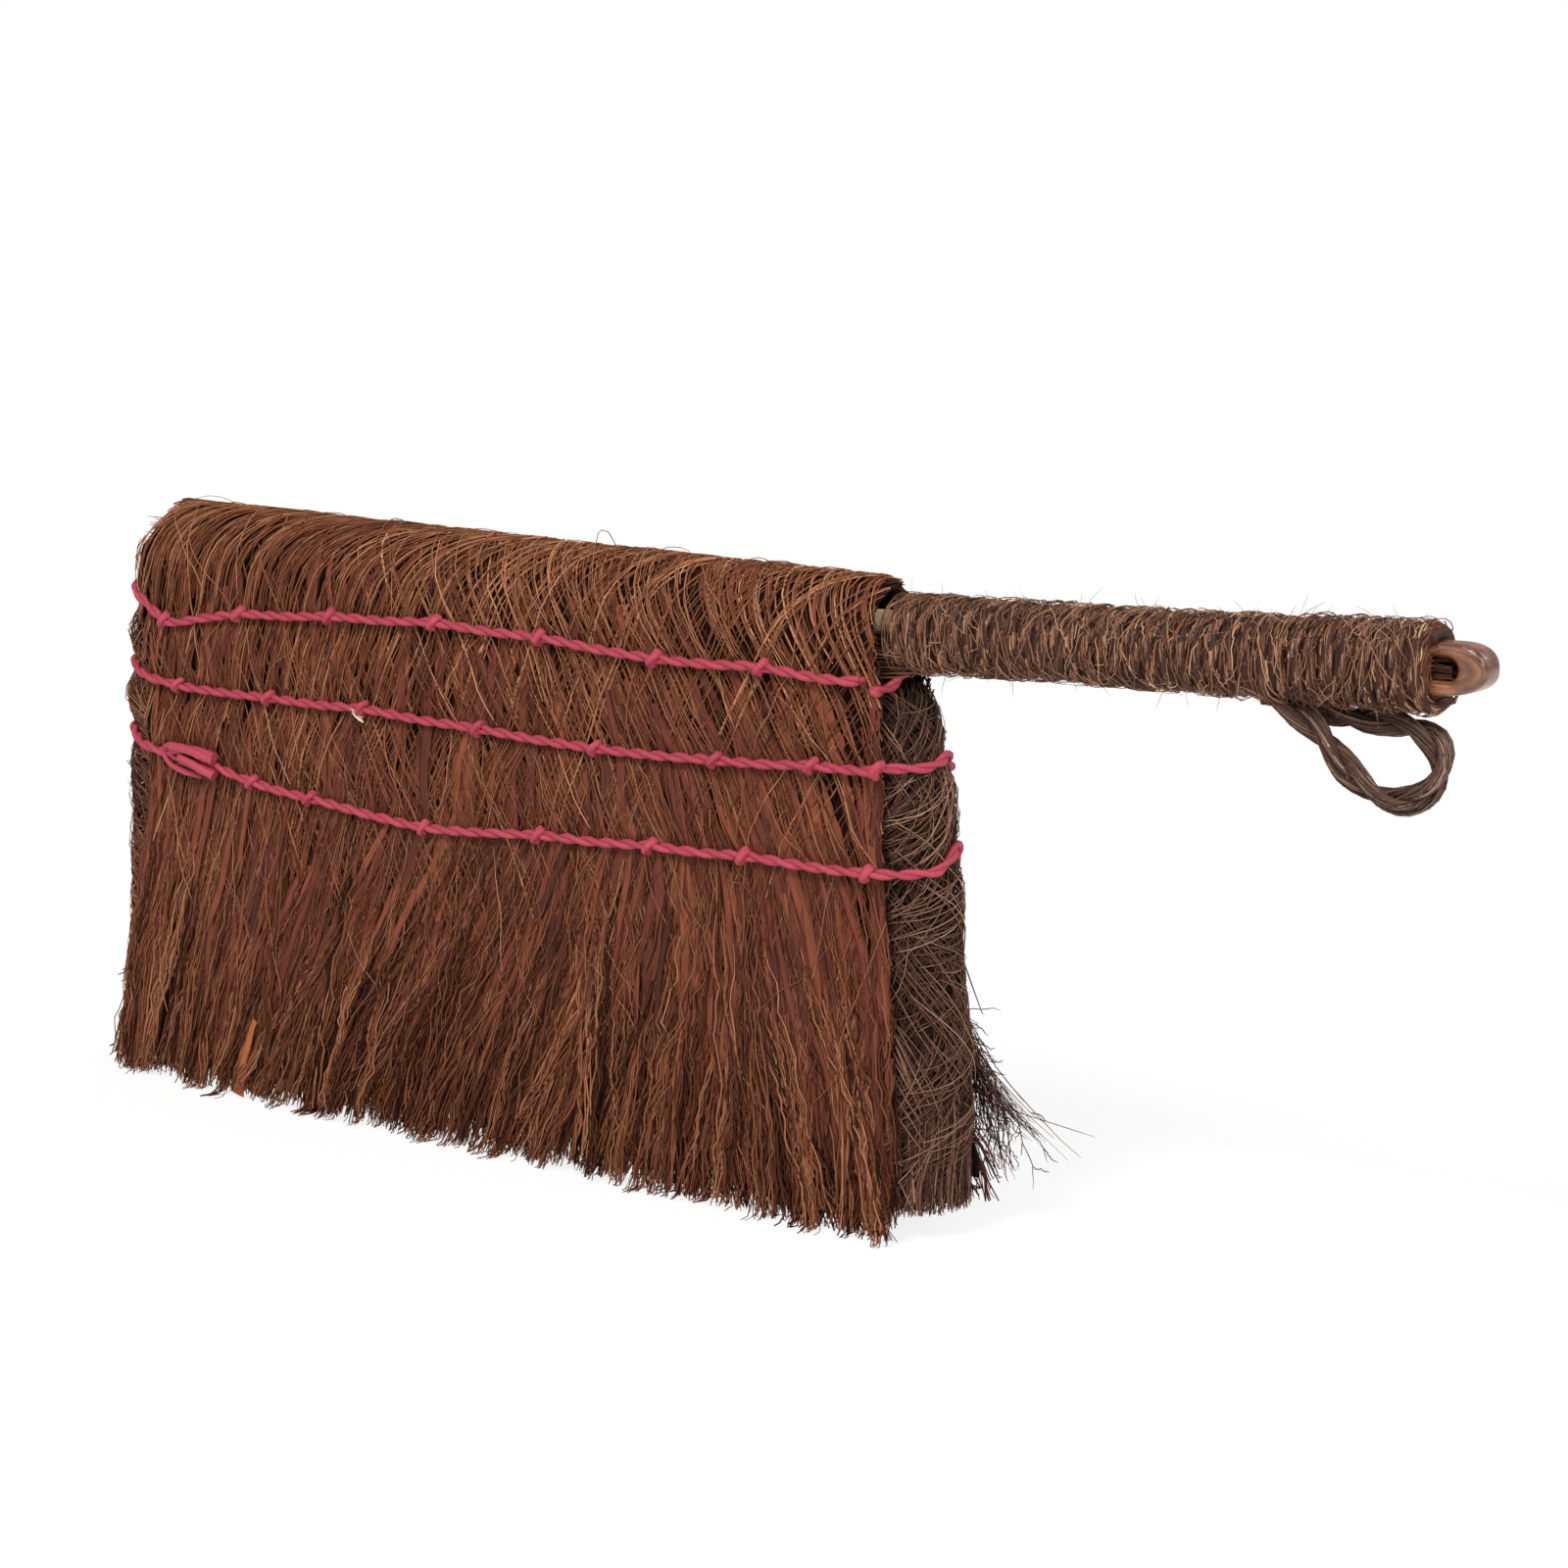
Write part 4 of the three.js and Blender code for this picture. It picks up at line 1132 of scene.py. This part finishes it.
def make_tuft():
    """A band of fibres along the frayed edge, a net that hangs from it, twigs on both and one long fibre."""
    rng = np.random.default_rng(61)
    band, net, twigs, points = 80, 85, 230, 12
    t = np.linspace(0, 1, points)
    course = route_through(TUFT_COURSE, 1)
    share = rng.uniform(0.75, 1.05, (band, 1)) * t
    place = np.clip(share, 0, 1) * (len(course) - 1)
    held = np.stack([np.interp(place, np.arange(len(course)), course[:, i]) for i in range(3)], -1)
    held = held + rng.normal(0, 0.9, (band, 1, 3)) * (1, 1.2, 1) + walk(rng, 0.3, held.shape)
    frayed = rng.normal(0, 1, (band, 1)) * np.maximum(t - 0.7, 0) * 16
    held[..., 0] += frayed
    held[..., 2] -= 0.6 * np.abs(frayed)
    start = held[rng.integers(0, band, net), rng.integers(3, points - 1, net)]
    drop = np.minimum(rng.uniform(7, 30, net), start[:, 2] - rng.uniform(9, 17, net))
    fall = np.stack([rng.normal(0.06, 0.16, net) * drop, rng.normal(0, 0.08, net) * drop, -drop], 1)
    hung = start[:, None] + fall[:, None] * t[:, None] + walk(rng, 0.32, (net, points, 3))
    root = np.concatenate([held, hung])[rng.integers(0, band + net, twigs), rng.integers(4, points, twigs)]
    turn = rng.uniform(-1.9, 0.1, twigs)
    ahead = np.stack([np.cos(turn), rng.normal(0, 0.25, twigs), np.sin(turn)], 1)
    ahead = ahead * rng.uniform(2, 8, (twigs, 1))
    side = root[:, None] + ahead[:, None] * t[:, None] + walk(rng, 0.2, (twigs, points, 3))
    single = route_through(TUFT_SINGLE, 2.1)[:points]
    routes = np.concatenate([held, hung, side, single[None]])
    total = len(routes)
    routes[..., 2] = np.maximum(routes[..., 2], 8 + 3 * rng.random((total, 1)))
    radius = thickness(rng, (0.1, 0.18), total, points)
    strands("ply_tuft", routes, radius, rng.beta(1.3, 3, total), dark_fibre)


make_tuft()


def ply_wall(way, heights):
    """Y of the rear ply's near or far face."""
    return np.array([hit("rear_ply", (-PROBE, way * FAR, z), (0, -way, 0))[1] for z in heights])


def make_ply_net():
    """Fibres on both faces of the rear ply and along its two upright edges."""
    rng = np.random.default_rng(63)
    faces, edge, points = 420, 130, 7
    total = faces + 2 * edge
    on_face = np.arange(total) < faces
    on_right = np.arange(total) >= faces + edge
    on_left = ~on_face & ~on_right
    heights = np.linspace(2, 104, 30)
    middle = (ply_wall(-1, heights) + ply_wall(1, heights)) / 2
    left = np.array([hit("rear_ply", (-FAR, y, z), (1, 0, 0))[0] for y, z in zip(middle, heights)])
    top = np.where(on_face, rng.uniform(25, 100, total), rng.uniform(55, 106, total))
    tip = np.where(on_right, rng.uniform(48, 66, total), 3 + rng.exponential(3, total))
    tip = np.where(on_left, rng.uniform(3, 50, total), tip)
    z = straight(top, tip, points)
    x = np.where(on_right, rng.uniform(123.4, 126.5, total), rng.uniform(-124, 123, total))[:, None]
    x = x + rng.normal(0, 0.12, (total, 1)) * (top[:, None] - z)
    brink = np.interp(z, heights, left) + rng.uniform(-0.3, 1.0, (total, 1))
    x = np.where(on_left[:, None], brink, np.maximum(x, brink)) + walk(rng, 0.2, (total, points))
    on_either = rng.choice((-1, 1), total) * rng.uniform(0.4, 1.1, total)
    off = np.where(on_face, on_either, rng.uniform(-1.1, 1.1, total))
    routes = np.stack([x, np.interp(z, heights, middle) + off[:, None], z], -1)
    radius = thickness(rng, (0.13, 0.26), total, points, 0.7, 0.5)
    strands("ply_net", routes, radius, rng.beta(1.6, 2.6, total), dark_fibre)


make_ply_net()


# Cut tips of the filling, seen from below.
def make_tips():
    rng = np.random.default_rng(71)
    count, points = 4600, 3
    x = rng.uniform(-144, 141, count)
    y = rng.uniform(-11.5, 10, count)
    bulge = np.sqrt(np.maximum(PAD_HALF ** 2 - (y - PAD_MIDDLE) ** 2, 0))
    x = np.clip(x, -134.5 - bulge, 131 + bulge)
    top = np.stack([x * 0.985, (y - PAD_MIDDLE) * 0.86 + PAD_MIDDLE, rng.uniform(18, 30, count)], 1)
    tip = np.stack([x, y, rng.uniform(0.2, 5, count) + 6 * eased(122, 136, x)], 1)
    tip = tip + rng.normal(0, 1, (count, 3)) * (1.2, 1.0, 0)
    routes = straight(top, tip, points)
    radius = thickness(rng, (0.2, 0.36), count, points, 0.8, 0.5)
    strands("fill_tips", routes, radius, rng.beta(2, 2, count), fill_fibre)


make_tips()


# Cane: a pale stick in the fold, split and bent back as an eye at the free end.
def make_cane_stick():
    stick = route_through(STICK, 6)
    radius = np.interp(stick[:, 0], *STICK_RADIUS)
    made = strands("cane_stick", stick[None], radius[None], 0.5, pale_cane, sides=14)
    made.data.uv_layers.remove(made.data.uv_layers["OFBake"])
    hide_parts("core_cane")


def quarter(rounding, start, end):
    """A quarter of the eye's rounded outside, as X and Z."""
    x = EYE_TIP - rounding
    turns = np.linspace(start, end, 14)
    rises = [np.sign(a) * abs(math.sin(a)) ** 0.8 for a in turns]
    return [(x + rounding * math.cos(a) ** 0.8, EYE[1] + EYE_OUT * rise) for a, rise in zip(turns, rises)]


def eye_outline():
    """The eye from the side, as X and Z: along its inside bend, then back along its outside."""
    right = 0.5 * math.pi
    lower, upper = EYE_LEGS
    outline = [(upper, EYE[1] + EYE_IN)]
    for a in np.linspace(right, -right, 15):
        outline.append((EYE[0] + EYE_IN * math.cos(a), EYE[1] + EYE_IN * math.sin(a)))
    outline += [(lower, EYE[1] - EYE_IN), (lower, EYE[1] - EYE_OUT)]
    outline += quarter(EYE_ROUNDING[0], -right, 0) + quarter(EYE_ROUNDING[1], 0, right)[1:]
    return outline + [(upper + 8, EYE[1] + EYE_OUT - 0.4), (upper, EYE[1] + EYE_IN + 2.2)]


def make_cane_eye():
    """The bent cane: its outline from the side, made deep and rounded at the edges."""
    curve = bpy.data.curves.new("cane_eye", "CURVE")
    curve.dimensions = "2D"
    curve.fill_mode = "BOTH"
    curve.extrude = (CANE_HALF - CANE_EDGE) * MM
    curve.bevel_depth = CANE_EDGE * MM
    curve.bevel_resolution = 3
    curve.offset = -CANE_EDGE * MM
    spline = curve.splines.new("POLY")
    outline = eye_outline()
    spline.points.add(len(outline) - 1)
    for point, (x, z) in zip(spline.points, outline):
        point.co = (x * MM, z * MM, 0, 1)
    spline.use_cyclic_u = True
    holder = bpy.data.objects.new("cane_eye_line", curve)
    bpy.context.scene.collection.objects.link(holder)
    mesh = evaluated_mesh(holder)
    bpy.data.objects.remove(holder)
    mesh.transform(Matrix.Rotation(0.5 * math.pi, 4, "X"))
    shape = bmesh.new()
    shape.from_mesh(mesh)
    bmesh.ops.remove_doubles(shape, verts=shape.verts, dist=0.01 * MM)
    bmesh.ops.recalc_face_normals(shape, faces=shape.faces)
    shape.to_mesh(mesh)
    shape.free()
    mesh.name = "cane_eye"
    mesh.shade_smooth()
    piece("cane_eye", mesh, brown_cane)


def make_eye_fill():
    """Fibre ends between the legs of the eye, in the darkest tones as painted shade in its hole."""
    rng = np.random.default_rng(75)
    count = 150
    x, y = rng.uniform(244, 252, count), rng.uniform(-2, 3.6, count)
    start = np.stack([x, y, EYE[1] + rng.uniform(-2.2, 2.2, count)], 1)
    ahead = [rng.uniform(260, 267.5, count), rng.normal(0, 0.4, count), rng.normal(0, 0.4, count)]
    end = start * (0, 1, 1) + np.stack(ahead, 1)
    radius = rng.uniform(0.25, 0.5, (count, 1))
    # Darkest tones: painted shade in the eye's hole.
    tone = 0.7 * rng.beta(1.2, 8, count)
    strands("cane_eye_fill", straight(start, end, 6), radius, tone, fill_fibre)


make_cane_stick()
make_cane_eye()
make_eye_fill()


# Grip: one palm rope wound round the padding.
GRIP_AXIS = ([128.4, 164, 200, 260.4], [142.2, 142.9, 143.3, 144.5])  # Z by X
GRIP_HALF = ([128.4, 164, 200, 230, 260.4], [9.1, 8.8, 8.9, 9.45, 9.9])  # half height by X
GRIP_DEPTH = 18.4
GRIP_SQUARING = 0.78  # 1 is round, less is squarer
ROPE = 3.4
WRAP_START, WRAP_LENGTH = 127, 136.2
WRAP_TURNS, TURN_STEPS = 34, 40
PLUG_X, PLUG_TURNS = 261.6, 4  # coil of fibre that closes the grip's free end


def around_grip(x, angle, inset):
    cos, sin = np.cos(angle), np.sin(angle)
    y = np.sign(cos) * np.abs(cos) ** GRIP_SQUARING * (0.5 * GRIP_DEPTH - inset)
    rise = np.sign(sin) * np.abs(sin) ** GRIP_SQUARING * (np.interp(x, *GRIP_HALF) - inset)
    return np.stack([x, y, np.interp(x, *GRIP_AXIS) + rise], -1)


def uneven(rng, spread, share, knots):
    """Smooth random differences along the rope."""
    return np.interp(share * knots, np.arange(knots + 1), rng.normal(0, spread, knots + 1))


def make_binding():
    """The rope's core and a strand sunk between its turns, both near black as painted shade, its two plies,
    and the plug at the free end.
    """
    rng = np.random.default_rng(81)
    share = np.linspace(0, 1, WRAP_TURNS * TURN_STEPS + 1)
    x = WRAP_START + WRAP_LENGTH * share + uneven(rng, 0.32, share, WRAP_TURNS)
    proud = uneven(rng, 0.14, share, 2 * WRAP_TURNS)
    angle = TURN * share * WRAP_TURNS + TURN / 20
    line = Line(around_grip(x, angle, 0.5 * ROPE - proud))
    # A strand sunk in the groove between turns: with the core it takes the darkest tone, painted shade under
    # the plies and between the turns.
    between = around_grip(x, angle + TURN / 2, 0.5 * ROPE + 1.2)
    core = np.stack([line.route, between])[:, 4:-8:2]
    made = strands("binding_core", core, 0.44 * ROPE, 0.04, rope_fibre, sides=6)
    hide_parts("handle_wrap")
    coil = np.linspace(0, PLUG_TURNS, 24 * PLUG_TURNS + 1)
    plug = Line(around_grip(np.full(len(coil), PLUG_X), TURN * coil, 1.6 + 1.1 * coil))
    count, points = 260, 8
    ends = plug.spun(rng, 1.0, pitch=30, count=count, length=16, points=points)
    radius = thickness(rng, (0.16, 0.3), count, points)
    strands("binding_plug", ends, radius, rng.beta(1.6, 2.6, count), fill_fibre)
    count, points = 1400, 15
    for name, phase in (("binding_ply_first", 0), ("binding_ply_second", TURN / 2)):
        ply = Line(line.wound(0.2 * ROPE, 14, phase))
        fibres = ply.spun(rng, 0.31 * ROPE, pitch=-19, count=count, length=30, points=points)
        radius = thickness(rng, (0.12, 0.25), count, points, 0.5, 0.3)
        strands(name, fibres, radius, shades(rng, 0.58, 0.2, count), rope_fibre)


make_binding()


def make_binding_nap():
    """Fibres rubbed out of the rope that lie across its turns."""
    rng = np.random.default_rng(82)
    count, points = 1150, 10
    shape = (count, points)
    x = 126.4 + 134.6 * rng.random(count) ** 1.25
    angle = rng.uniform(0, TURN, count)
    length = rng.uniform(4, 16, count)
    t = np.linspace(0, 1, points)
    way = np.where(rng.random(count) < 0.8, 1, -1)
    turned = way[:, None] * (length[:, None] / 9.5) * t + walk(rng, 0.05, shape)
    along = (rng.normal(0.08, 0.4, (count, 1)) * length[:, None]) * t + walk(rng, 0.28, shape)
    inset = rng.uniform(-0.35, 0.5, (count, 1)) - 0.4 * np.sin(math.pi * t) * rng.random((count, 1))
    routes = around_grip(np.clip(x[:, None] + along, 126.1, 262), angle[:, None] + turned, inset)
    radius = thickness(rng, (0.09, 0.19), count, points, 0.6, 0.4)
    tone = shades(rng, 0.52, 0.22, count, 0.92)
    strands("binding_nap", routes, radius, tone, rope_fibre)


make_binding_nap()


def make_grip_fuzz():
    """Short hairs that stand off the rope and bend about."""
    rng = np.random.default_rng(83)
    count, points = 520, 9
    x = rng.uniform(126, 264, count)
    angle = rng.uniform(0, TURN, count)
    start = around_grip(x, angle, 0.5)
    out = np.stack([rng.normal(0, 0.8, count), 0.3 * np.cos(angle), 0.3 * np.sin(angle)], 1)
    t = np.linspace(0, 1, points)[:, None]
    length = rng.uniform(1, 3.6, count)[:, None]
    ahead = unit(out + rng.normal(0, 0.7, (count, 3))) * length
    bend = unit(rng.normal(0, 1, (count, 3))) * length * 1.1
    routes = start[:, None] + ahead[:, None] * t + bend[:, None] * t * t + walk(rng, 0.05, (count, points, 3))
    radius = thickness(rng, (0.05, 0.09), count, points)
    strands("grip_fuzz", routes, radius, rng.uniform(0.3, 1, count), rope_fibre)


make_grip_fuzz()


# Fibre ends round the cane at the neck and at the two mouths of the fold.
FOLD_MIDDLE = 146  # Z of the fold's middle at X = 0


def padding_ends(rng, count, points):
    """Ends of the padding below the cane at the neck, and all round it at the grip's free end."""
    t = np.linspace(0, 1, points)
    angle = rng.uniform(math.radians(-162), math.radians(-18), count)
    start, end = rng.uniform(102, 112, count), rng.uniform(127, 134, count)
    free = rng.random(count) < 0.35
    angle = np.where(free, rng.uniform(0, TURN, count), angle)
    start = np.where(free, rng.uniform(248, 254, count), start)
    end = np.where(free, rng.uniform(260, 264.5, count), end)
    inset = rng.uniform(3.5, 4.6, count)
    turned = angle[:, None] + rng.normal(0, 0.2, (count, 1)) * t
    return around_grip(straight(start, end, points), turned, inset[:, None])


def roll_ends(rng, count, points):
    """Ends of the roll in the two mouths of the fold."""
    angle = rng.uniform(0, TURN, count)
    depth = 9.0 * np.sqrt(rng.random(count))
    right = rng.random(count) < 0.4
    start = np.where(right, rng.uniform(84, 96, count), rng.uniform(-112, -104, count))
    end = np.where(right, rng.uniform(98, 112, count), rng.uniform(-131, -122, count))
    x = straight(start, end, points)
    y = (depth * np.cos(angle))[:, None] + walk(rng, 0.2, (count, points))
    z = FOLD_MIDDLE * (1 - FALL * x) + (depth * np.sin(angle))[:, None] + walk(rng, 0.2, (count, points))
    return np.stack([x, y, z], -1)


def neck_strings(rng, count, points):
    """Dark fibres strung from the head to the grip below the cane."""
    x, y, z = rng.uniform(100, 112, count), rng.uniform(-9.5, 9.5, count), rng.uniform(130.5, 141.5, count)
    start = np.stack([x, y, z], 1)
    end = np.stack([rng.uniform(129, 134, count), 0.75 * y, 0.55 * z + 0.45 * 137], 1)
    return straight(start, end, points) + walk(rng, 0.22, (count, points, 3))


def make_bundle_ends():
    """Two pieces: the dark strings at the neck, and the ends of the padding and the roll."""
    rng = np.random.default_rng(91)
    padding, roll, strings, points = 420, 520, 330, 8
    ends = np.concatenate([padding_ends(rng, padding, points), roll_ends(rng, roll, points)])
    strung = neck_strings(rng, strings, points)
    tone = 0.15 + 0.75 * rng.beta(2, 2.2, strings)
    radius = thickness(rng, (0.15, 0.3), strings, points)
    strands("neck_fibres", strung, radius, tone, dark_fibre)
    radius = thickness(rng, (0.15, 0.3), len(ends), points)
    strands("bundle_ends", ends, radius, rng.beta(2, 2.4, len(ends)), fill_fibre)


make_bundle_ends()


# Stitching: two plies of twisted paper, along the front and round both ends, and along the back.
def on_front(x, z, lift=SEAT):
    return sheath.place(x, sheath.up_front(z / (1 - FALL * x)), lift)


def on_back(x, z, lift=SEAT):
    return sheath.place(x, sheath.up_back(z / (1 - FALL * x)), lift)


def round_end(way, name):
    """From the last stitch of a row round one end of the head to its back, drawn into the pad."""
    right = way > 0
    turns, heights = row_round(way, name)
    start, height, behind = STARTS[name][right], ENDS[name][right], BEHIND[name][right]
    edge = sheath.sides(sheath.up_front(height))[right]

    def along_back(*runs):
        return [on_back(edge - way * run, behind, lift) for run, lift in runs]

    if name == "upper" and not right:
        corner = [(7, 0.42, 1.6), (2, 0.82, 1.4), (-0.9, 1, -1.2), (-1, 1.1, -5)]
        front = [on_front(edge + run, start + share * (height - start), lift) for run, share, lift in corner]
        return front + along_back((8, SEAT), (15, SEAT), (18, SUNK))
    sunk = 0.1 if right else 1.2
    half = float(np.interp(height, noses[way].z, noses[way].half))
    bend = np.radians(turns) * (half + sunk)
    nose = [noses[way].place(a, z, sunk) for a, z in zip(bend, heights)]
    corner = on_front(edge - way * 0.5, start + (0 if right else 0.45) * (height - start), 1.3)
    if name == "upper":
        return [corner] + nose[:4] + along_back((15, SEAT), (21, SEAT), (24, SUNK))
    return [corner] + nose + along_back((0, SEAT), (8, SEAT), (15, SEAT), (18, SUNK))


def twine(route, thick=0.9 * TWINE, pitch=13.0, apart=0.22):
    """The two plies of a twine along a route, and the radius of a ply."""
    line = Line(route)
    plies = [line.wound(apart * thick, pitch, phase) for phase in (0, math.pi)]
    return np.array(plies), (0.5 - apart) * thick


def twine_piece(name, node, groups, rng):
    """Twines of one node, as plies with their radius, each cut to strands of the same number of points."""
    points = 40
    cut, wide, tone = [], [], []
    for plies, thick in groups:
        for route in plies:
            at = np.arange(len(route))
            size = max(1, math.ceil((len(route) - 1) / (points - 1)))
            places = np.linspace(0, len(route) - 1, size * (points - 1) + 1)
            fine = np.stack([np.interp(places, at, route[:, i]) for i in range(3)], 1)
            width = thick * (1 + np.interp(places, at, rng.normal(0, 0.05, len(route))))
            shade = rng.uniform(0.35, 0.65)
            for i in range(size):
                part = slice(i * (points - 1), (i + 1) * (points - 1) + 1)
                cut.append(fine[part])
                wide.append(width[part])
                tone.append(shade)
    made = strands(name, np.array(cut), np.array(wide), np.array(tone), pink_paper, sides=8)
    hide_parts(node)


def over(x, z, way, tilt):
    """A turn over the front twine that comes out of the head on one side of it and goes in on the other."""
    turn = np.radians(np.linspace(92, -92, 9))
    middle = on_front(x, z)
    reach = 0.5 * TWINE - 0.1
    return np.stack([
        middle[0] + tilt * np.sin(turn),
        middle[1] - reach * np.cos(turn) + 0.15,
        middle[2] + way * reach * np.sin(turn),
    ], 1)


def make_front_twine(rng, name, row):
    """One twine along the front, sagging between its stitches, and round both ends."""
    between = []
    for (x0, z0), (x1, z1) in zip(row, row[1:]):
        between += [(x0, z0), ((x0 + x1) / 2, (z0 + z1) / 2 - 0.35)]
    front = [on_front(x, z) for x, z in between + [row[-1]]]
    left, right = (round_end(side, name) for side in (-1, 1))
    if name == "upper":
        x, z = REENTRY
        dip = [(-5.2, 2.1, 1.2), (-3.4, 1.8, -2.4), (-1.9, 0.4, -2.2), (0, 0, 1.4)]
        front[-1:] = [on_front(x + run, z + rise, lift) for run, rise, lift in dip]
        right = right[1:]
    route = route_through(left[::-1] + front + right, 0.7)
    twine_piece(f"twine_front_{name}", f"front_twine_{name}", [twine(route)], rng)


def make_back_twine(rng, name, stitches, way):
    """One twine along the back, and its turns over the front twine."""
    first, last = stitches[0], stitches[-1]
    run = [on_back(first[0] - 4, first[1] + way * HOOK, SUNK)]
    run += [on_back(x, z + way * HOOK) for x, z in stitches]
    run += [on_back(last[0] + 3, last[1] + way * HOOK, SUNK)]
    groups = [twine(route_through(run, 0.7))]
    for x, z in stitches:
        thick = TWINE * rng.uniform(0.8, 0.95)
        knot = route_through(over(x, z, way, way * rng.uniform(0.7, 1.3)), 0.4)
        groups.append(twine(knot, thick, 12.0, 0.13))
    twine_piece(f"twine_back_{name}", f"back_twine_{name}", groups, rng)


def make_tie(rng):
    """The tie-off's two cut tails and the turns of its knot."""
    x, z = TIE[0]
    tails = [
        ([(1, 2.4, 3), (9, 2.6, 3.4), (18.2, 0.9, 3.2)], 3.7),
        ([(4.5, -0.2, 3), (11, -1.6, 3.4), (17.4, -3.6, 2.8)], 3.7),
        ([(-4, 1.4, 2), (-1.5, -1.4, 2.8), (4, -3.8, 2.8), (11, -4.8, 1.8)], 2),
        ([(-3.5, 0.4, 2), (-1, 2.6, 2.8), (4, 3, 3), (8, 1.6, 2.6)], 2),
    ]
    groups = []
    for tail, thick in tails:
        route = route_through([on_front(x + run, z + rise, lift) for run, rise, lift in tail], 0.5)
        groups.append(twine(route, thick, 45.0, 0.16))
    twine_piece("twine_tie", "twine_tie_off", groups, rng)


def make_chip():
    """Two bits of pale straw caught just below the middle row."""
    x, z = MIDDLE[2]
    runs = (-3.6, -2.2, -0.8, 0.4)
    chips = []
    for i in (0, 1):
        chips.append([on_front(x + run + 0.5 * i, z - 2.3 - 0.6 * run - 1.2 * i, 2.6) for run in runs])
    radius = np.array([0.35, 0.75, 0.75, 0.3])
    strands(
        "pale_chip", chips, radius, (0.3, 0.55), pale_straw,
        sides=6, flat=0.5, facing=(0, -1, 0),
    )


def make_stitching():
    """The three rows, each with its front twine before its back twine, then the tie-off and the straw."""
    rng = np.random.default_rng(95)
    make_front_twine(rng, "upper", UPPER)
    make_back_twine(rng, "upper", UPPER[:-1], 1)
    make_front_twine(rng, "middle", MIDDLE)
    make_back_twine(rng, "middle", MIDDLE, -1)
    make_front_twine(rng, "lower", TIE + LOWER)
    make_back_twine(rng, "lower", LOWER, 1)
    make_tie(rng)
    make_chip()


make_stitching()


# Stage: a pale floor and soft light.
WHITE = (1, 1, 1, 1)
SKY_STRENGTH = 0.38
LAMPS = [  # name, place and size in metres, and power
    ("key", (0.12, -1.5, 1.8), 0.55, 42),
    ("fill", (1.5, -0.9, 0.9), 1.0, 18),
    ("rim", (1.2, 1.2, 1.3), 1.0, 12),
]
LAMP_AIM = Vector((0.03, 0, 0.08))


def make_floor():
    """A floor that takes soft shadows near the brush and is white farther away."""
    floor = bmesh.new()
    bmesh.ops.create_grid(floor, x_segments=1, y_segments=1, size=8)
    mesh = bpy.data.meshes.new("floor")
    floor.to_mesh(mesh)
    floor.free()
    made = bpy.data.objects.new("floor", mesh)
    bpy.context.scene.collection.objects.link(made)
    finish = Finish("pale_floor")
    seen = finish.node("ShaderNodeLightPath", {}, {})
    away = finish.node("ShaderNodeVectorMath", {"operation": "LENGTH"}, {0: finish.place()}, out=1)
    far = finish.ranged(away, 0.2, 0.6, 0.84, 1.0, interpolation_type="SMOOTHSTEP")
    lit = finish.node("ShaderNodeBsdfDiffuse", {}, {"Color": (0.92, 0.92, 0.92, 1)})
    white = finish.node("ShaderNodeEmission", {}, {"Color": WHITE, "Strength": 1.0})
    mixed = finish.node("ShaderNodeMixShader", {}, {0: seen * far, 1: lit, 2: white})
    finish.node("ShaderNodeOutputMaterial", {}, {"Surface": mixed})
    mesh.materials.append(finish.material)


def make_sky():
    """Soft light from all round, seen as white."""
    world = bpy.data.worlds.new("studio")
    world.use_nodes = True
    bpy.context.scene.world = world
    nodes = Nodes(world.node_tree)
    seen = nodes.node("ShaderNodeLightPath", {}, {})
    sky = nodes.node("ShaderNodeBackground", {}, {"Color": WHITE, "Strength": SKY_STRENGTH})
    plain = nodes.node("ShaderNodeBackground", {}, {"Color": WHITE, "Strength": 1.0})
    mixed = nodes.node("ShaderNodeMixShader", {}, {0: seen, 1: sky, 2: plain})
    nodes.node("ShaderNodeOutputWorld", {}, {"Surface": mixed})


def make_lamps():
    """Area lamps that face the brush."""
    for name, place, size, power in LAMPS:
        lamp = bpy.data.lights.new(name, "AREA")
        lamp.size = size
        lamp.energy = power
        made = bpy.data.objects.new(name, lamp)
        made.location = place
        made.rotation_mode = "QUATERNION"
        made.rotation_quaternion = (LAMP_AIM - Vector(place)).to_track_quat("-Z", "Y")
        bpy.context.scene.collection.objects.link(made)


make_floor()
make_sky()
make_lamps()
bpy.context.scene.view_settings.view_transform = "Standard"
